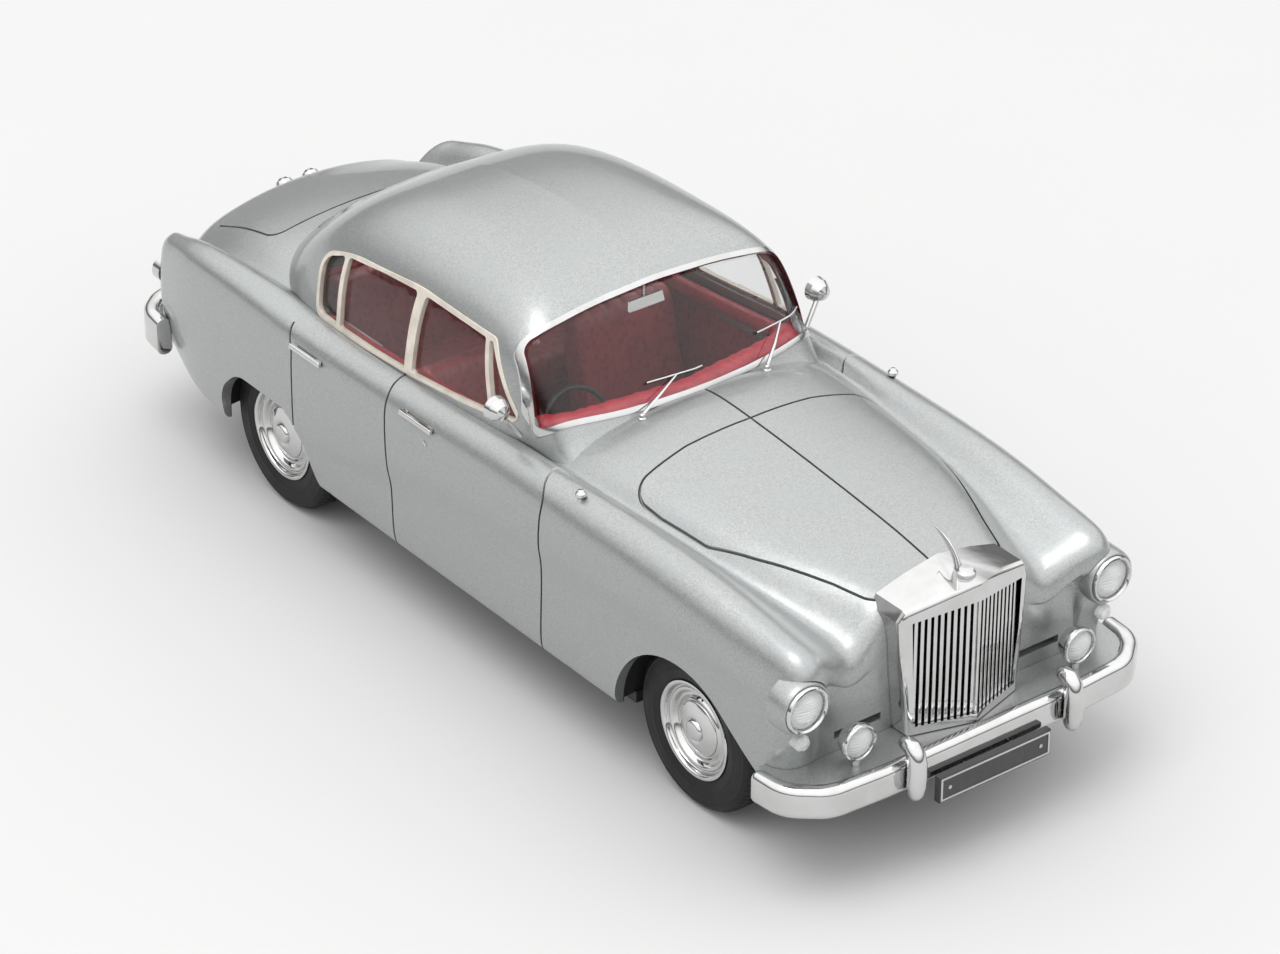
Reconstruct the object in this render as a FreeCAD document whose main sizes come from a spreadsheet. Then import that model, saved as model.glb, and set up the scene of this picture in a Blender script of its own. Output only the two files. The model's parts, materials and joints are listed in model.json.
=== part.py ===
# A 1:43 collector model of a coachbuilt saloon car: cast body, glazing, plated trim, cabin, rolling wheels.
# Millimetres. The car faces -Y and stands on Z = 0. X = 0 is its middle plane, its right-hand side at -X.
# Stations along Y are drawn from a datum between the axles; frame_shift centres the finished car on Y = 0.
import FreeCAD, Part
import math
import os
import Sketcher
from FreeCAD import Placement, Rotation, Vector

os.makedirs("parts", exist_ok=True)
doc = FreeCAD.newDocument("collector_car")

# ---------------------------------------------------------------- driving dimensions
sheet = doc.addObject("Spreadsheet::Sheet", "spec")
DIMENSIONS = {
    "wheelbase": 72.65,
    "front_axle_y": -35.3,
    "frame_shift": -3.55,
    "tyre_radius": 8.85,
    "rim_radius": 5.3,
    "wheel_x": 17.0,
    "axle_radius": 0.9,
    "plinth_hole_radius": 1.1,
    "skin": 0.95,
    "groove_width": 0.26,
    "groove_depth": 0.3,
}
for row, (alias, value) in enumerate(DIMENSIONS.items(), 1):
    sheet.set(f"A{row}", alias)
    sheet.set(f"B{row}", str(value))
    sheet.setAlias(f"B{row}", alias)
doc.recompute()


def dim(alias):
    """The value of one cell of the sheet."""
    return float(sheet.get(alias))


# ---------------------------------------------------------------- freeform kit
def curve(*knots):
    """A smooth function through (y, value) knots, flat beyond its ends."""
    ys = [k[0] for k in knots]
    vs = [k[1] for k in knots]

    def slope(i):
        if i in (0, len(ys) - 1):
            return 0.0
        before = (vs[i] - vs[i - 1]) / (ys[i] - ys[i - 1])
        after = (vs[i + 1] - vs[i]) / (ys[i + 1] - ys[i])
        if before * after <= 0:
            return 0.0
        return 2 * before * after / (before + after)

    def at(y):
        if y <= ys[0]:
            return vs[0]
        if y >= ys[-1]:
            return vs[-1]
        i = max(k for k in range(len(ys) - 1) if ys[k] <= y)
        gap = ys[i + 1] - ys[i]
        s = (y - ys[i]) / gap
        return (
            vs[i] * (1 + 2 * s) * (1 - s) ** 2
            + slope(i) * gap * s * (1 - s) ** 2
            + vs[i + 1] * s * s * (3 - 2 * s)
            + slope(i + 1) * gap * s * s * (s - 1)
        )

    return at


def net_surface(net):
    """A clamped cubic B-spline surface whose poles are the net's points."""
    count_u, count_v = len(net), len(net[0])

    def mults(count):
        return [4] + [1] * (count - 4) + [4]

    surface = Part.BSplineSurface()
    surface.buildFromPolesMultsKnots(
        net,
        mults(count_u),
        mults(count_v),
        [float(k) for k in range(count_u - 2)],
        [float(k) for k in range(count_v - 2)],
        False,
        False,
        3,
        3,
    )
    return surface


def inset(net, depth):
    """The net moved inwards by depth along its own normals; end rows stay on X = 0, end rings stay flat."""
    count_u, count_v = len(net), len(net[0])
    moved = []
    for i in range(count_u):
        line = []
        for j in range(count_v):
            du = net[min(i + 1, count_u - 1)][j] - net[max(i - 1, 0)][j]
            dv = net[i][min(j + 1, count_v - 1)] - net[i][max(j - 1, 0)]
            normal = du.cross(dv)
            if j in (0, count_v - 1):
                normal.x = 0
            if i in (0, count_u - 1):
                normal = Vector(0, -1 if i == 0 else 1, 0)
            if normal.Length > 1e-9:
                normal.normalize()
            line.append(net[i][j] - normal * depth)
        moved.append(line)
    return moved


def joins(edge, ring):
    """Whether an edge runs from one end of a ring of poles to the other."""
    ends = [vertex.Point for vertex in edge.Vertexes]
    straight = ends[0].isEqual(ring[0], 1e-6) and ends[-1].isEqual(ring[-1], 1e-6)
    return straight or (ends[0].isEqual(ring[-1], 1e-6) and ends[-1].isEqual(ring[0], 1e-6))


def half_solid(net):
    """The solid between the net's surface, the plane X = 0 and the two flat end rings."""
    skin = net_surface(net).toShape()
    faces = [skin]
    border = [edge for edge in skin.Edges if not joins(edge, net[0]) and not joins(edge, net[-1])]
    for ring in (net[0], net[-1]):
        chord = Part.LineSegment(ring[-1], ring[0]).toShape()
        rim = next(edge for edge in skin.Edges if joins(edge, ring))
        faces.append(Part.Face(Part.Wire([rim, chord])))
        border.append(chord)
    faces.append(Part.Face(Part.Wire(Part.__sortEdges__(border))))
    shell = Part.Shell(faces)
    shell.sewShape()
    solid = Part.Solid(shell)
    if solid.Volume < 0:
        solid.reverse()
    return solid


# ---------------------------------------------------------------- hull
# Rows go from the keel round the flank to the middle of the bonnet and boot. Each gives a half width and a
# height for every station; together they are the poles of one smooth surface.
flank = curve((-52, 20.7), (-46, 21.4), (-36, 21.9), (-20, 22.15), (20, 22.2), (38, 22.1), (48, 21.8),
              (54, 21.2), (58, 20.2))
keel = curve((46, 8.0), (50, 8.0), (54, 9.2), (58, 11.5))
sweep_line = curve((-50, 19.5), (-42, 20.5), (-27, 20.4), (-13, 19.6), (-4, 19.2), (4, 18.3),
                   (12.6, 16.5), (20, 14.2), (30, 11.0))
sweep_depth = curve((-49, 0.0), (-42, 0.5), (14, 0.5), (30, 0.0))
crown_z = curve((-52, 24.6), (-50, 25.6), (-47, 26.4), (-43, 27.0), (-36, 27.8), (-28, 28.1),
                (-12, 28.1), (0, 27.7), (10, 27.2), (20, 26.8), (30, 26.6), (38, 27.0), (46, 26.9),
                (52, 26.3), (56, 25.0), (58, 23.9))
crown_x = curve((-52, 19.3), (-44, 19.3), (-30, 19.5), (0, 19.8), (30, 19.8), (44, 19.6), (54, 19.1),
                (58, 18.7))
valley_x = curve((-52, 11.0), (-48, 11.8), (-44, 12.8), (-36, 14.5), (-24, 15.8), (-12, 17.0),
                 (36, 17.2), (44, 17.0), (50, 16.6), (55, 16.0), (58, 15.6))
valley_z = curve((-52, 21.0), (-48, 22.2), (-44, 23.2), (-36, 24.8), (-24, 25.8), (-12, 26.2),
                 (36, 25.6), (44, 24.8), (50, 23.6), (55, 21.8), (58, 20.0))
edge_x = curve((-52, 8.0), (-50, 8.2), (-46, 9.6), (-38, 12.6), (-30, 14.2), (-24, 14.8), (-12, 15.2),
               (36, 15.2), (46, 14.6), (58, 13.5))
edge_z = curve((-52, 26.4), (-46, 27.2), (-38, 27.7), (-30, 28.0), (-24, 28.2), (-18, 28.5),
               (-12, 28.8), (-6, 26.6), (36, 26.6), (42, 27.3), (48, 26.5), (54, 25.0), (58, 23.0))
centre_z = curve((-50, 27.2), (-44, 28.2), (-36, 29.1), (-28, 29.9), (-20, 30.5), (-12, 30.9),
                 (-6, 27.0), (34, 27.0), (40, 28.8), (44, 28.6), (50, 27.7), (55, 26.4), (58, 25.3))


wing_round = curve((-50, 1.0), (-12, 0.9), (10, 0.75), (34, 0.6), (50, 0.5), (58, 0.4))


def hull_section(y):
    """Poles of the half section at station y: (half width, height) pairs from the keel to the middle."""
    side, floor, line, depth = flank(y), keel(y), sweep_line(y), sweep_depth(y)
    top, bow = crown_z(y), wing_round(y)
    bulge = 0.3 * centre_z(y) + 0.7 * edge_z(y)
    return [
        (0.0, floor),
        (10.0, floor),
        (side - 3.6, floor),
        (side - 1.0, floor - 0.6),
        (side - 0.45, floor + 1.0),
        (side - 0.15 - 0.6 * depth, floor + 4.5),
        (side - depth, max(line - 0.8, floor + 5.5)),
        (side + 0.1, max(line + 0.6, floor + 6.5)),
        (side + 0.05, top - 4.3),
        (side - 0.4 * bow, top - 2.3 * bow),
        (0.3 * side + 0.7 * crown_x(y), top - 0.6 * bow),
        (crown_x(y) - 1.2 * bow, top),
        (0.6 * crown_x(y) + 0.4 * valley_x(y) - 0.9, 0.58 * top + 0.42 * valley_z(y) + 0.2),
        (valley_x(y), valley_z(y)),
        (edge_x(y), edge_z(y)),
        (0.62 * edge_x(y), bulge + 0.55 * (centre_z(y) - bulge)),
        (0.25 * edge_x(y), centre_z(y)),
        (0.0, centre_z(y)),
    ]


CORE_X = 13.0
CORE_Z = 17.0


def shrunk(section, amount):
    """A section moved towards the core line of the nose and tail, by at most 0.6 of the way."""
    result = []
    for x, z in section:
        core_x = min(x, CORE_X)
        reach = max(math.hypot(x - core_x, z - CORE_Z), 0.1)
        part = min(amount / reach, 0.6)
        result.append((x + (core_x - x) * part, z + (CORE_Z - z) * part))
    return result


def end_rings(y_end, direction, radius):
    """Rings that round the end of the hull over to a flat panel."""
    section = hull_section(y_end)
    rings = []
    for angle in (25, 50, 75):
        turn = math.radians(angle)
        rings.append((y_end + direction * radius * math.sin(turn),
                     shrunk(section, radius * (1 - math.cos(turn)))))
    for amount in (radius * 1.25, radius * 1.6, 6.0, 6.6):
        rings.append((y_end + direction * radius, shrunk(section, amount)))
    return rings


STATIONS = [-43, -39, -35, -31, -26, -21, -16, -11, -6, 0, 6, 12, 18, 24, 30, 35, 40, 45, 49.5, 53]
NOSE_Y = -47.8
NOSE_ROUND = 3.2
TAIL_Y = 56.2
TAIL_ROUND = 2.6
TAIL_FLAT = 3.0


def nose_lead(x, z):
    """How far the nose stands forward: round wing noses, and a wall set back beside the radiator."""
    return -2.1 * math.exp(-(((x - 19.3) / 4.4) ** 2) - ((z - 22.5) / 6.0) ** 2)


def tail_lead(x, z):
    """How far the tail stands back: full in the middle, leaning in above and below."""
    return 3.6 - 0.0045 * x * x - 0.02 * (z - CORE_Z) ** 2


def hull_net():
    """The poles of the half hull, station by station."""
    stations = list(reversed(end_rings(NOSE_Y, -1, NOSE_ROUND)))
    stations += [(y, hull_section(y)) for y in [NOSE_Y] + STATIONS + [TAIL_Y]]
    stations += end_rings(TAIL_Y, 1, TAIL_ROUND)
    net = []
    for index, (y, section) in enumerate(stations):
        fore = min(1.0, max(0.0, (-43.0 - y) / 6.5))
        aft = min(1.0, max(0.0, (y - 44.0) / 14.8))
        ring = []
        for x, z in section:
            lead = fore * nose_lead(x, z) + aft * tail_lead(x, z)
            if index < 2:
                lead = 0.0
            if index > len(stations) - 3:
                lead = TAIL_FLAT
            ring.append(Vector(x, y + lead, z))
        net.append(ring)
    return net


# ---------------------------------------------------------------- greenhouse
roof_z = curve((-16, 25), (-14, 27.6), (-11.9, 31), (-8.4, 35.0), (-4.9, 39.0), (-1.5, 40.9), (3, 41.9),
               (9, 42.2), (15, 42.1), (21, 41.5), (26, 40.4), (30, 38.8), (34, 36.5), (38, 33.8),
               (42, 31.0), (46, 28.1), (49, 25.7), (51, 24))
roof_w = curve((-14, 17.2), (-9, 18.0), (-4, 19.2), (5, 19.4), (15, 19.4), (25, 19.2), (32, 18.8),
               (37, 18.1), (42, 16.6), (46, 13.9), (49, 11))
roof_a = curve((-14, 12), (-8, 11), (-4, 7), (0, 4.4), (8, 3.4), (20, 3.2), (32, 3.0), (49, 2.5))
roof_sweep = curve((-14, 2.6), (-8, 1.8), (-4, 0.8), (2, 0.0), (30, 0.0), (38, -1.5), (46, -4.0),
                   (49, -5.0))
ROOF_STATIONS = [-16, -14, -11.9, -9.6, -7.2, -4.9, -1.5, 3, 9, 15, 21, 26, 30, 34, 38, 42, 46, 49, 51]
ROOF_BASE = 22.0


def roof_net():
    """The poles of the half greenhouse, from its buried base to the middle of the roof."""
    net = []
    for index, y in enumerate(ROOF_STATIONS):
        height = roof_z(y) - ROOF_BASE
        flat = index in (0, len(ROOF_STATIONS) - 1)
        ring = [Vector(0, y, ROOF_BASE), Vector(roof_w(y) * 0.5, y, ROOF_BASE)]
        for t in (0.0, 0.2, 0.4, 0.58, 0.73, 0.84, 0.92, 0.965, 0.99, 1.0):
            z = ROOF_BASE + t * height
            x = roof_w(y) * (1 - 0.0045 * (z - ROOF_BASE)) * (1 - t**5) ** (1 / roof_a(y))
            lead = 0.0 if flat else roof_sweep(y) * (x / 16.5) ** 2
            ring.append(Vector(x, y + lead, z))
        net.append(ring)
    return net


# ---------------------------------------------------------------- outlines
def offset_corner(before, here, after, offset):
    """A corner of a polyline moved to the left of its direction of travel by offset."""
    first = (here - before).normalize()
    second = (after - here).normalize()
    left_first = Vector(-first.y, first.x, 0)
    left_second = Vector(-second.y, second.x, 0)
    middle = (left_first + left_second).normalize()
    return here + middle * (offset / middle.dot(left_first))


def rounded_edges(points, radii, closed):
    """Lines and arcs through a polyline in the XY plane, each corner rounded to its own radius."""
    count = len(points)
    starts, arcs = {}, {}
    for i in range(count):
        if not closed and i in (0, count - 1):
            continue
        before, here, after = points[i - 1], points[i], points[(i + 1) % count]
        back = (before - here).normalize()
        ahead = (after - here).normalize()
        half_angle = math.acos(max(-1.0, min(1.0, back.dot(ahead)))) / 2
        reach = min((before - here).Length, (after - here).Length) * 0.48
        cut = min(radii[i] / math.tan(half_angle), reach)
        if cut < 1e-4:
            continue
        radius = cut * math.tan(half_angle)
        centre = here + (back + ahead).normalize() * (radius / math.sin(half_angle))
        middle = centre + (here - centre).normalize() * radius
        starts[i] = (here + back * cut, here + ahead * cut)
        arcs[i] = Part.Arc(here + back * cut, middle, here + ahead * cut).toShape()
    edges = []
    for i in range(count if closed else count - 1):
        k = (i + 1) % count
        start = starts[i][1] if i in starts else points[i]
        end = starts[k][0] if k in starts else points[k]
        if (end - start).Length > 1e-4:
            edges.append(Part.LineSegment(start, end).toShape())
        if k in arcs:
            edges.append(arcs[k])
    return edges


def outline(points, radii, offset=0.0):
    """A closed, rounded face in the XY plane; a positive offset makes an anticlockwise outline smaller."""
    corners = [Vector(x, y, 0) for x, y in points]
    if isinstance(radii, (int, float)):
        radii = [radii] * len(corners)
    area = sum(a.x * b.y - a.y * b.x for a, b in zip(corners, corners[1:] + corners[:1]))
    sign = 1 if area > 0 else -1
    count = len(corners)
    moved = [
        offset_corner(corners[i - 1], corners[i], corners[(i + 1) % count], sign * offset)
        for i in range(count)
    ]
    rounded = [max(radius - offset, 0.05) for radius in radii]
    return Part.Face(Part.Wire(rounded_edges(moved, rounded, True)))


def strip(points, radius, width):
    """A long thin face of constant width along a rounded polyline in the XY plane."""
    line = [Vector(x, y, 0) for x, y in points]
    sides = []
    for offset in (width / 2, -width / 2):
        moved = []
        for i, here in enumerate(line):
            before = line[i - 1] if i else here * 2 - line[1]
            after = line[i + 1] if i < len(line) - 1 else here * 2 - line[-2]
            moved.append(offset_corner(before, here, after, offset))
        sides.append((moved, rounded_edges(moved, [radius] * len(moved), False)))
    (left, left_edges), (right, right_edges) = sides
    ends = [Part.LineSegment(left[0], right[0]).toShape(),
            Part.LineSegment(left[-1], right[-1]).toShape()]
    return Part.Face(Part.Wire(Part.__sortEdges__(left_edges + right_edges + ends)))


def through_side(face, near, far):
    """A face drawn in (Y, Z) made into a prism between two half widths."""
    turned = face.copy()
    turned.Placement = Placement(Vector(near, 0, 0),
                                 Rotation(Vector(0, 1, 0), Vector(0, 0, 1), Vector(1, 0, 0)))
    return turned.extrude(Vector(far - near, 0, 0))


def through_top(face, low, high):
    """A face drawn in (X, Y) made into a prism between two heights."""
    raised = face.copy()
    raised.Placement = Placement(Vector(0, 0, low), Rotation())
    return raised.extrude(Vector(0, 0, high - low))


# ---------------------------------------------------------------- body casting
FRONT_AXLE_Y = dim("front_axle_y")
REAR_AXLE_Y = FRONT_AXLE_Y + dim("wheelbase")
AXLE_Z = dim("tyre_radius")
SKIN = dim("skin")


def half_box(x_far, y_near, y_far, z_low, z_high):
    """A box from X = 0 outwards."""
    return Part.makeBox(x_far, y_far - y_near, z_high - z_low, Vector(0, y_near, z_low))


def lying_cylinder(radius, x_near, x_far, y, z):
    """A cylinder along X."""
    return Part.makeCylinder(radius, x_far - x_near, Vector(x_near, y, z), Vector(1, 0, 0))


def belt(y):
    """Height of the bottom edge of the side windows."""
    return 26.9 + 2.9 * ((30.0 - y) / 35.5) ** 2


SIDE_OPENING = [(-5.6, belt(-5.2) - 0.3)] + [(y, belt(y) - 0.35) for y in (3.2, 12.2, 21.2)] + [
    (30.4, 26.5), (31.0, 33.4), (25.6, 35.3), (13.2, 36.75), (-0.1, 36.6)]
SIDE_RADII = [0.8, 40, 40, 40, 1.2, 2.4, 30, 30, 1.0]
SIDE_PANES = [
    ([(-5.0, belt(-4.7) + 0.05), (-1.7, belt(-1.7) + 0.05), (0.75, 36.1), (0.15, 36.1)], 0.25),
    ([(-1.05, belt(-1) + 0.05), (5.2, belt(5.2) + 0.05), (12.3, belt(12.3) + 0.05), (11.9, 36.25),
    (1.35, 36.15)],
     [0.3, 40, 0.5, 0.5, 0.4]),
    ([(13.6, belt(13.6) + 0.05), (19.2, belt(19.2) + 0.05), (25.6, belt(25.6) + 0.1), (25.9, 34.75),
    (19.5, 35.7),
      (13.3, 36.2)], [0.5, 40, 0.4, 0.5, 40, 0.5]),
    ([(26.3, belt(26.3) + 0.1), (29.9, 27.0), (30.4, 33.1), (26.6, 34.6)], [0.3, 1.0, 2.0, 0.4]),
]
SCREEN_TILT = 45.5
SCREEN_OPENING = [(-18.1, 0.6), (-9, -1.1), (0, -1.6), (9, -1.1), (18.1, 0.6), (16.8, 10.1), (8, 11.1),
                  (0, 11.4), (-8, 11.1), (-16.8, 10.1)]
SCREEN_RADII = [1.7, 60, 60, 60, 1.7, 2.0, 60, 60, 60, 2.0]
REAR_TILT = 32.0
REAR_OPENING = [(-11.5, 0.0), (0, -0.6), (11.5, 0.0), (11.0, 8.2), (0, 8.8), (-11.0, 8.2)]
REAR_RADII = [2.2, 60, 2.2, 3.0, 60, 3.0]


def screen_prism(face, foot_y, foot_z, tilt):
    """A face drawn on a pane that leans back by tilt from level, made into a prism across the pane."""
    turn = math.radians(tilt)
    up_pane = Vector(0, math.cos(turn), math.sin(turn))
    across = Vector(1, 0, 0)
    outward = across.cross(up_pane)
    leaned = face.copy()
    leaned.Placement = Placement(Vector(0, foot_y, foot_z) - outward * 3,
                                 Rotation(across, up_pane, outward))
    return leaned.extrude(outward * 9)


def windscreen(offset):
    """Prism through the windscreen, its outline drawn in by offset."""
    return screen_prism(outline(SCREEN_OPENING, SCREEN_RADII, offset), -10.0, 30.1, SCREEN_TILT)


def backlight(offset):
    """Prism through the rear window, its outline drawn in by offset."""
    return screen_prism(outline(REAR_OPENING, REAR_RADII, offset), 42.4, 30.4, 180 - REAR_TILT)


def side_window(offset):
    """Prism through the side glazing, its outline drawn in by offset."""
    return through_side(outline(SIDE_OPENING, SIDE_RADII, offset), 8, 24)


def side_panes():
    """Prisms through the four panes of one side."""
    return [through_side(outline(points, radii), 8, 24) for points, radii in SIDE_PANES]


def front_arch():
    """The front wheel opening, swept forward to the bumper."""
    cy, cz, radius, turn = -35.6, 7.6, 10.0, math.radians(127)
    top = Vector(cy, cz + radius, 0)
    lip = Vector(cy + radius * math.cos(turn), cz + radius * math.sin(turn), 0)
    along = Vector(-math.sin(turn), math.cos(turn), 0)
    low_front = lip + along * 7.6
    rear = Vector(cy + radius, cz, 0)
    edges = [
        Part.Arc(rear, top, lip).toShape(),
        Part.LineSegment(lip, low_front).toShape(),
        Part.LineSegment(low_front, Vector(low_front.x, 5, 0)).toShape(),
        Part.LineSegment(Vector(low_front.x, 5, 0), Vector(rear.x, 5, 0)).toShape(),
        Part.LineSegment(Vector(rear.x, 5, 0), rear).toShape(),
    ]
    return through_side(Part.Face(Part.Wire(edges)), 13.8, 26)


def rear_arch():
    """The flat-topped rear wheel opening."""
    points = [(26.2, 5), (26.4, 8), (28.6, 12.6), (31.5, 15.6), (41.2, 15.6), (45.2, 12.0), (45.6, 5)]
    return through_side(outline(points, [0.2, 5, 4, 3.5, 4.5, 5, 0.2]), 13.8, 26)


def wheel_well(y):
    """The space for one wheel inside the wing."""
    return lying_cylinder(10.3, 13.8, 20.3, y, AXLE_Z)


FRONT_CUT = [(-9.3, 29.6), (-12.2, 28.2), (-14.2, 26.0), (-13.9, 18.0), (-13.4, 6.0)]
MIDDLE_CUT = [(13.7, 27.6), (12.9, 25.6), (12.5, 17.0), (12.2, 6.0)]
REAR_CUT = [(31.2, 26.0), (30.1, 23.5), (30.1, 14.0)]
BONNET_SIDE = [(6.4, -50.4), (8.3, -48.4), (9.6, -44.6), (12.7, -37.0), (14.6, -31.5), (15.3, -25.0),
               (15.4, -20.3), (8.0, -19.6), (-1.0, -19.9)]
BONNET_MIDDLE = [(0.0, -52.0), (0.0, -12.4)]
BOOT_CUT = [(12.8, 58.0), (12.9, 46.9), (5.0, 46.9), (-1.0, 46.9)]
HEADLAMP = (19.3, -52.7, 20.6)
SOCKET_R = 2.95
SOCKET_BACK = 1.3


def groove_tools(hull_core, roof_core):
    """Thin solids that scribe the doors, the bonnet and the boot lid into the skin."""
    width = dim("groove_width")
    sides = [through_side(strip(line, 2.2, width), near, 25)
             for near, line in ((17.2, FRONT_CUT), (15.8, MIDDLE_CUT), (15.8, REAR_CUT))]
    tops = [
        through_top(strip(BONNET_SIDE, 3.2, width), 22, 45),
        through_top(strip(BONNET_MIDDLE, 1.0, width), 22, 45),
        through_top(strip(BOOT_CUT, 1.6, width), 22, 45),
    ]
    return [strip_solid.cut([hull_core, roof_core]) for strip_solid in sides + tops]


def lamp_socket():
    """The round recess in the wing that a headlamp sits in; the wing's crown stays over it as a brow."""
    x, y, z = HEADLAMP
    return Part.makeCylinder(SOCKET_R, 10, Vector(x, y + SOCKET_BACK, z), Vector(0, -1, 0))


def air_slot():
    """The cooling slot in the nose panel beside the radiator."""
    return Part.makeBox(5.8, 3.0, 0.8, Vector(8.5, -52.6, 14.3))


def half_cavity(cabin, bay):
    """Hollow of half the casting, open at the bottom: cabin, engine bay and boot."""
    low = half_box(19.4, -12.5, 25.6, 5, 24).fuse(half_box(13.4, 25.5, 43.5, 5, 24))
    front = bay.common(half_box(12.6, -47, -14, 9, 30)).fuse(half_box(12.6, -46, -14, 5, 12))
    rear = bay.common(half_box(12.6, 45, 56, 10, 30)).fuse(half_box(12.6, 45, 54, 5, 13))
    return [cabin, low, front, rear]


FRAME = Placement(Vector(0, dim("frame_shift"), 0), Rotation())
MIDDLE = Vector(0, 0, 0)
ACROSS = Vector(1, 0, 0)
nodes = []


def both_halves(half):
    """One solid from a half and its mirror image."""
    return half.fuse(half.mirror(MIDDLE, ACROSS))


def shaped(name, shape):
    """A sub-part whose freeform shape is drawn in code."""
    piece = doc.addObject("Part::Feature", name)
    piece.Shape = shape
    piece.Placement = FRAME
    piece.Label = name
    nodes.append(piece)
    return piece


def raw(name, shape):
    """A freeform shape in the document, still to be trimmed."""
    piece = doc.addObject("Part::Feature", name)
    piece.Shape = shape
    piece.Placement = FRAME
    return piece


def handed(stem, half):
    """The right-hand and left-hand sub-parts of one half shape drawn on the +X side."""
    return shaped(stem + "_right", half.mirror(MIDDLE, ACROSS)), shaped(stem + "_left", half)


hull_poles, roof_poles = hull_net(), roof_net()
hull = half_solid(hull_poles)
roof = half_solid(roof_poles)
FRAME_PROUD = 0.12
FRAME_DEEP = 0.45
GLASS_DEEP = 0.8
roof_proud = half_solid(inset(roof_poles, -FRAME_PROUD))
roof_seat = half_solid(inset(roof_poles, FRAME_DEEP))
roof_glazed = half_solid(inset(roof_poles, GLASS_DEEP))
BASE_Z = 8.0
PLATE_Z = 6.7
POST_Y = (-18.5, 52.0)
PLINTH_Y = (-26.5, 47.4)
PLATE_RECESS = [(-48, 12.6), (-25.4, 12.6), (-25.4, 18.6), (26.0, 18.6), (26.0, 12.6), (54.4, 12.6)]


def half_body():
    """Half of the cast body, its windows, wheel wells, scribed lines and screw posts included."""
    groove = dim("groove_depth")
    shell = hull.fuse(roof)
    cabin = half_solid(inset(roof_poles, SKIN))
    inner_stations = [NOSE_Y - 3, NOSE_Y] + STATIONS + [TAIL_Y, TAIL_Y + 2]
    bay = half_solid(inset([[Vector(x, y, z) for x, z in hull_section(y)] for y in inner_stations], 1.5))
    shell = shell.cut(half_cavity(cabin, bay))
    shell = shell.cut([front_arch(), rear_arch(), wheel_well(FRONT_AXLE_Y), wheel_well(REAR_AXLE_Y)])
    shell = shell.cut([half_box(14.5, y - 1.5, y + 1.5, 5, 10.6) for y in (FRONT_AXLE_Y, REAR_AXLE_Y)])
    shell = shell.cut([half_box(18.6, -25.4, 26.0, 5, BASE_Z), half_box(12.6, -48.0, 54.4, 5, BASE_Z)])
    shell = shell.cut([side_window(0), windscreen(0), backlight(0), air_slot(), lamp_socket()])
    hull_core = half_solid(inset(hull_poles, groove))
    roof_core = half_solid(inset(roof_poles, groove))
    shell = shell.cut(groove_tools(hull_core, roof_core))
    for y, top in zip(POST_Y, (29.8, 26.6)):
        post = Part.makeCylinder(2.1, top - BASE_Z, Vector(0, y, BASE_Z), Vector(0, 0, 1), 180)
        post.rotate(Vector(0, y, 0), Vector(0, 0, 1), -90)
        shell = shell.fuse(post).cut(Part.makeCylinder(0.8, 8.0, Vector(0, y, BASE_Z)))
    return shell


body_shell = shaped("body_shell", both_halves(half_body()))
outer_skin = raw("outer_skin", both_halves(hull.fuse(roof).cut(lamp_socket())))


# ---------------------------------------------------------------- glazing and window frames
def pane_layer(prism, outer, inner):
    """The part of a prism between two skins."""
    return prism.common(outer).cut(inner)


def frame_layer(opening, panes):
    """A window frame: the opening's prism between the proud skin and the glass seat, without its panes."""
    return pane_layer(opening, roof_proud, roof_seat).cut(panes)


RIM = 0.62
windscreen_pane = pane_layer(windscreen(0), roof_seat, roof_glazed)
handed("side_frame", frame_layer(side_window(0), side_panes()))
handed("side_glass", pane_layer(side_window(0), roof_seat, roof_glazed).cut(windscreen_pane))
windscreen_frame = shaped("windscreen_frame", both_halves(frame_layer(windscreen(0), [windscreen(RIM)])))
windscreen_glass = shaped("windscreen_glass", both_halves(windscreen_pane))
shaped("rear_window_frame", both_halves(frame_layer(backlight(0), [backlight(RIM)])))
shaped("rear_window_glass", both_halves(pane_layer(backlight(0), roof_seat, roof_glazed)))


# ---------------------------------------------------------------- parametric kit
def size(alias, offset=0.0):
    """A coordinate that follows one cell of the sheet, with a fixed offset."""
    return (alias, offset)


def number(coordinate):
    """The present value of a coordinate."""
    if isinstance(coordinate, tuple):
        return dim(coordinate[0]) + coordinate[1]
    return float(coordinate)


def expression(coordinate):
    """The expression that keeps a coordinate bound to the sheet."""
    return f"spec.{coordinate[0]} + {coordinate[1]}"


def draw(body, role, points):
    """A closed polygon sketched on a body's origin plane, its bound coordinates held by the sheet."""
    sketch = body.newObject("Sketcher::SketchObject", body.Name + "_sketch")
    plane = next(feature for feature in body.Origin.OriginFeatures if feature.Role == role)
    sketch.AttachmentSupport = [(plane, "")]
    sketch.MapMode = "FlatFace"
    corners = [Vector(number(u), number(v), 0) for u, v in points]
    count = len(corners)
    for i in range(count):
        sketch.addGeometry(Part.LineSegment(corners[i], corners[(i + 1) % count]))
    for i in range(count):
        sketch.addConstraint(Sketcher.Constraint("Coincident", i, 2, (i + 1) % count, 1))
    for i, point in enumerate(points):
        for kind, coordinate in zip(("DistanceX", "DistanceY"), point):
            if isinstance(coordinate, tuple):
                held = sketch.addConstraint(Sketcher.Constraint(kind, -1, 1, i, 1, number(coordinate)))
                sketch.setExpression(f"Constraints[{held}]", expression(coordinate))
    return sketch


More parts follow.
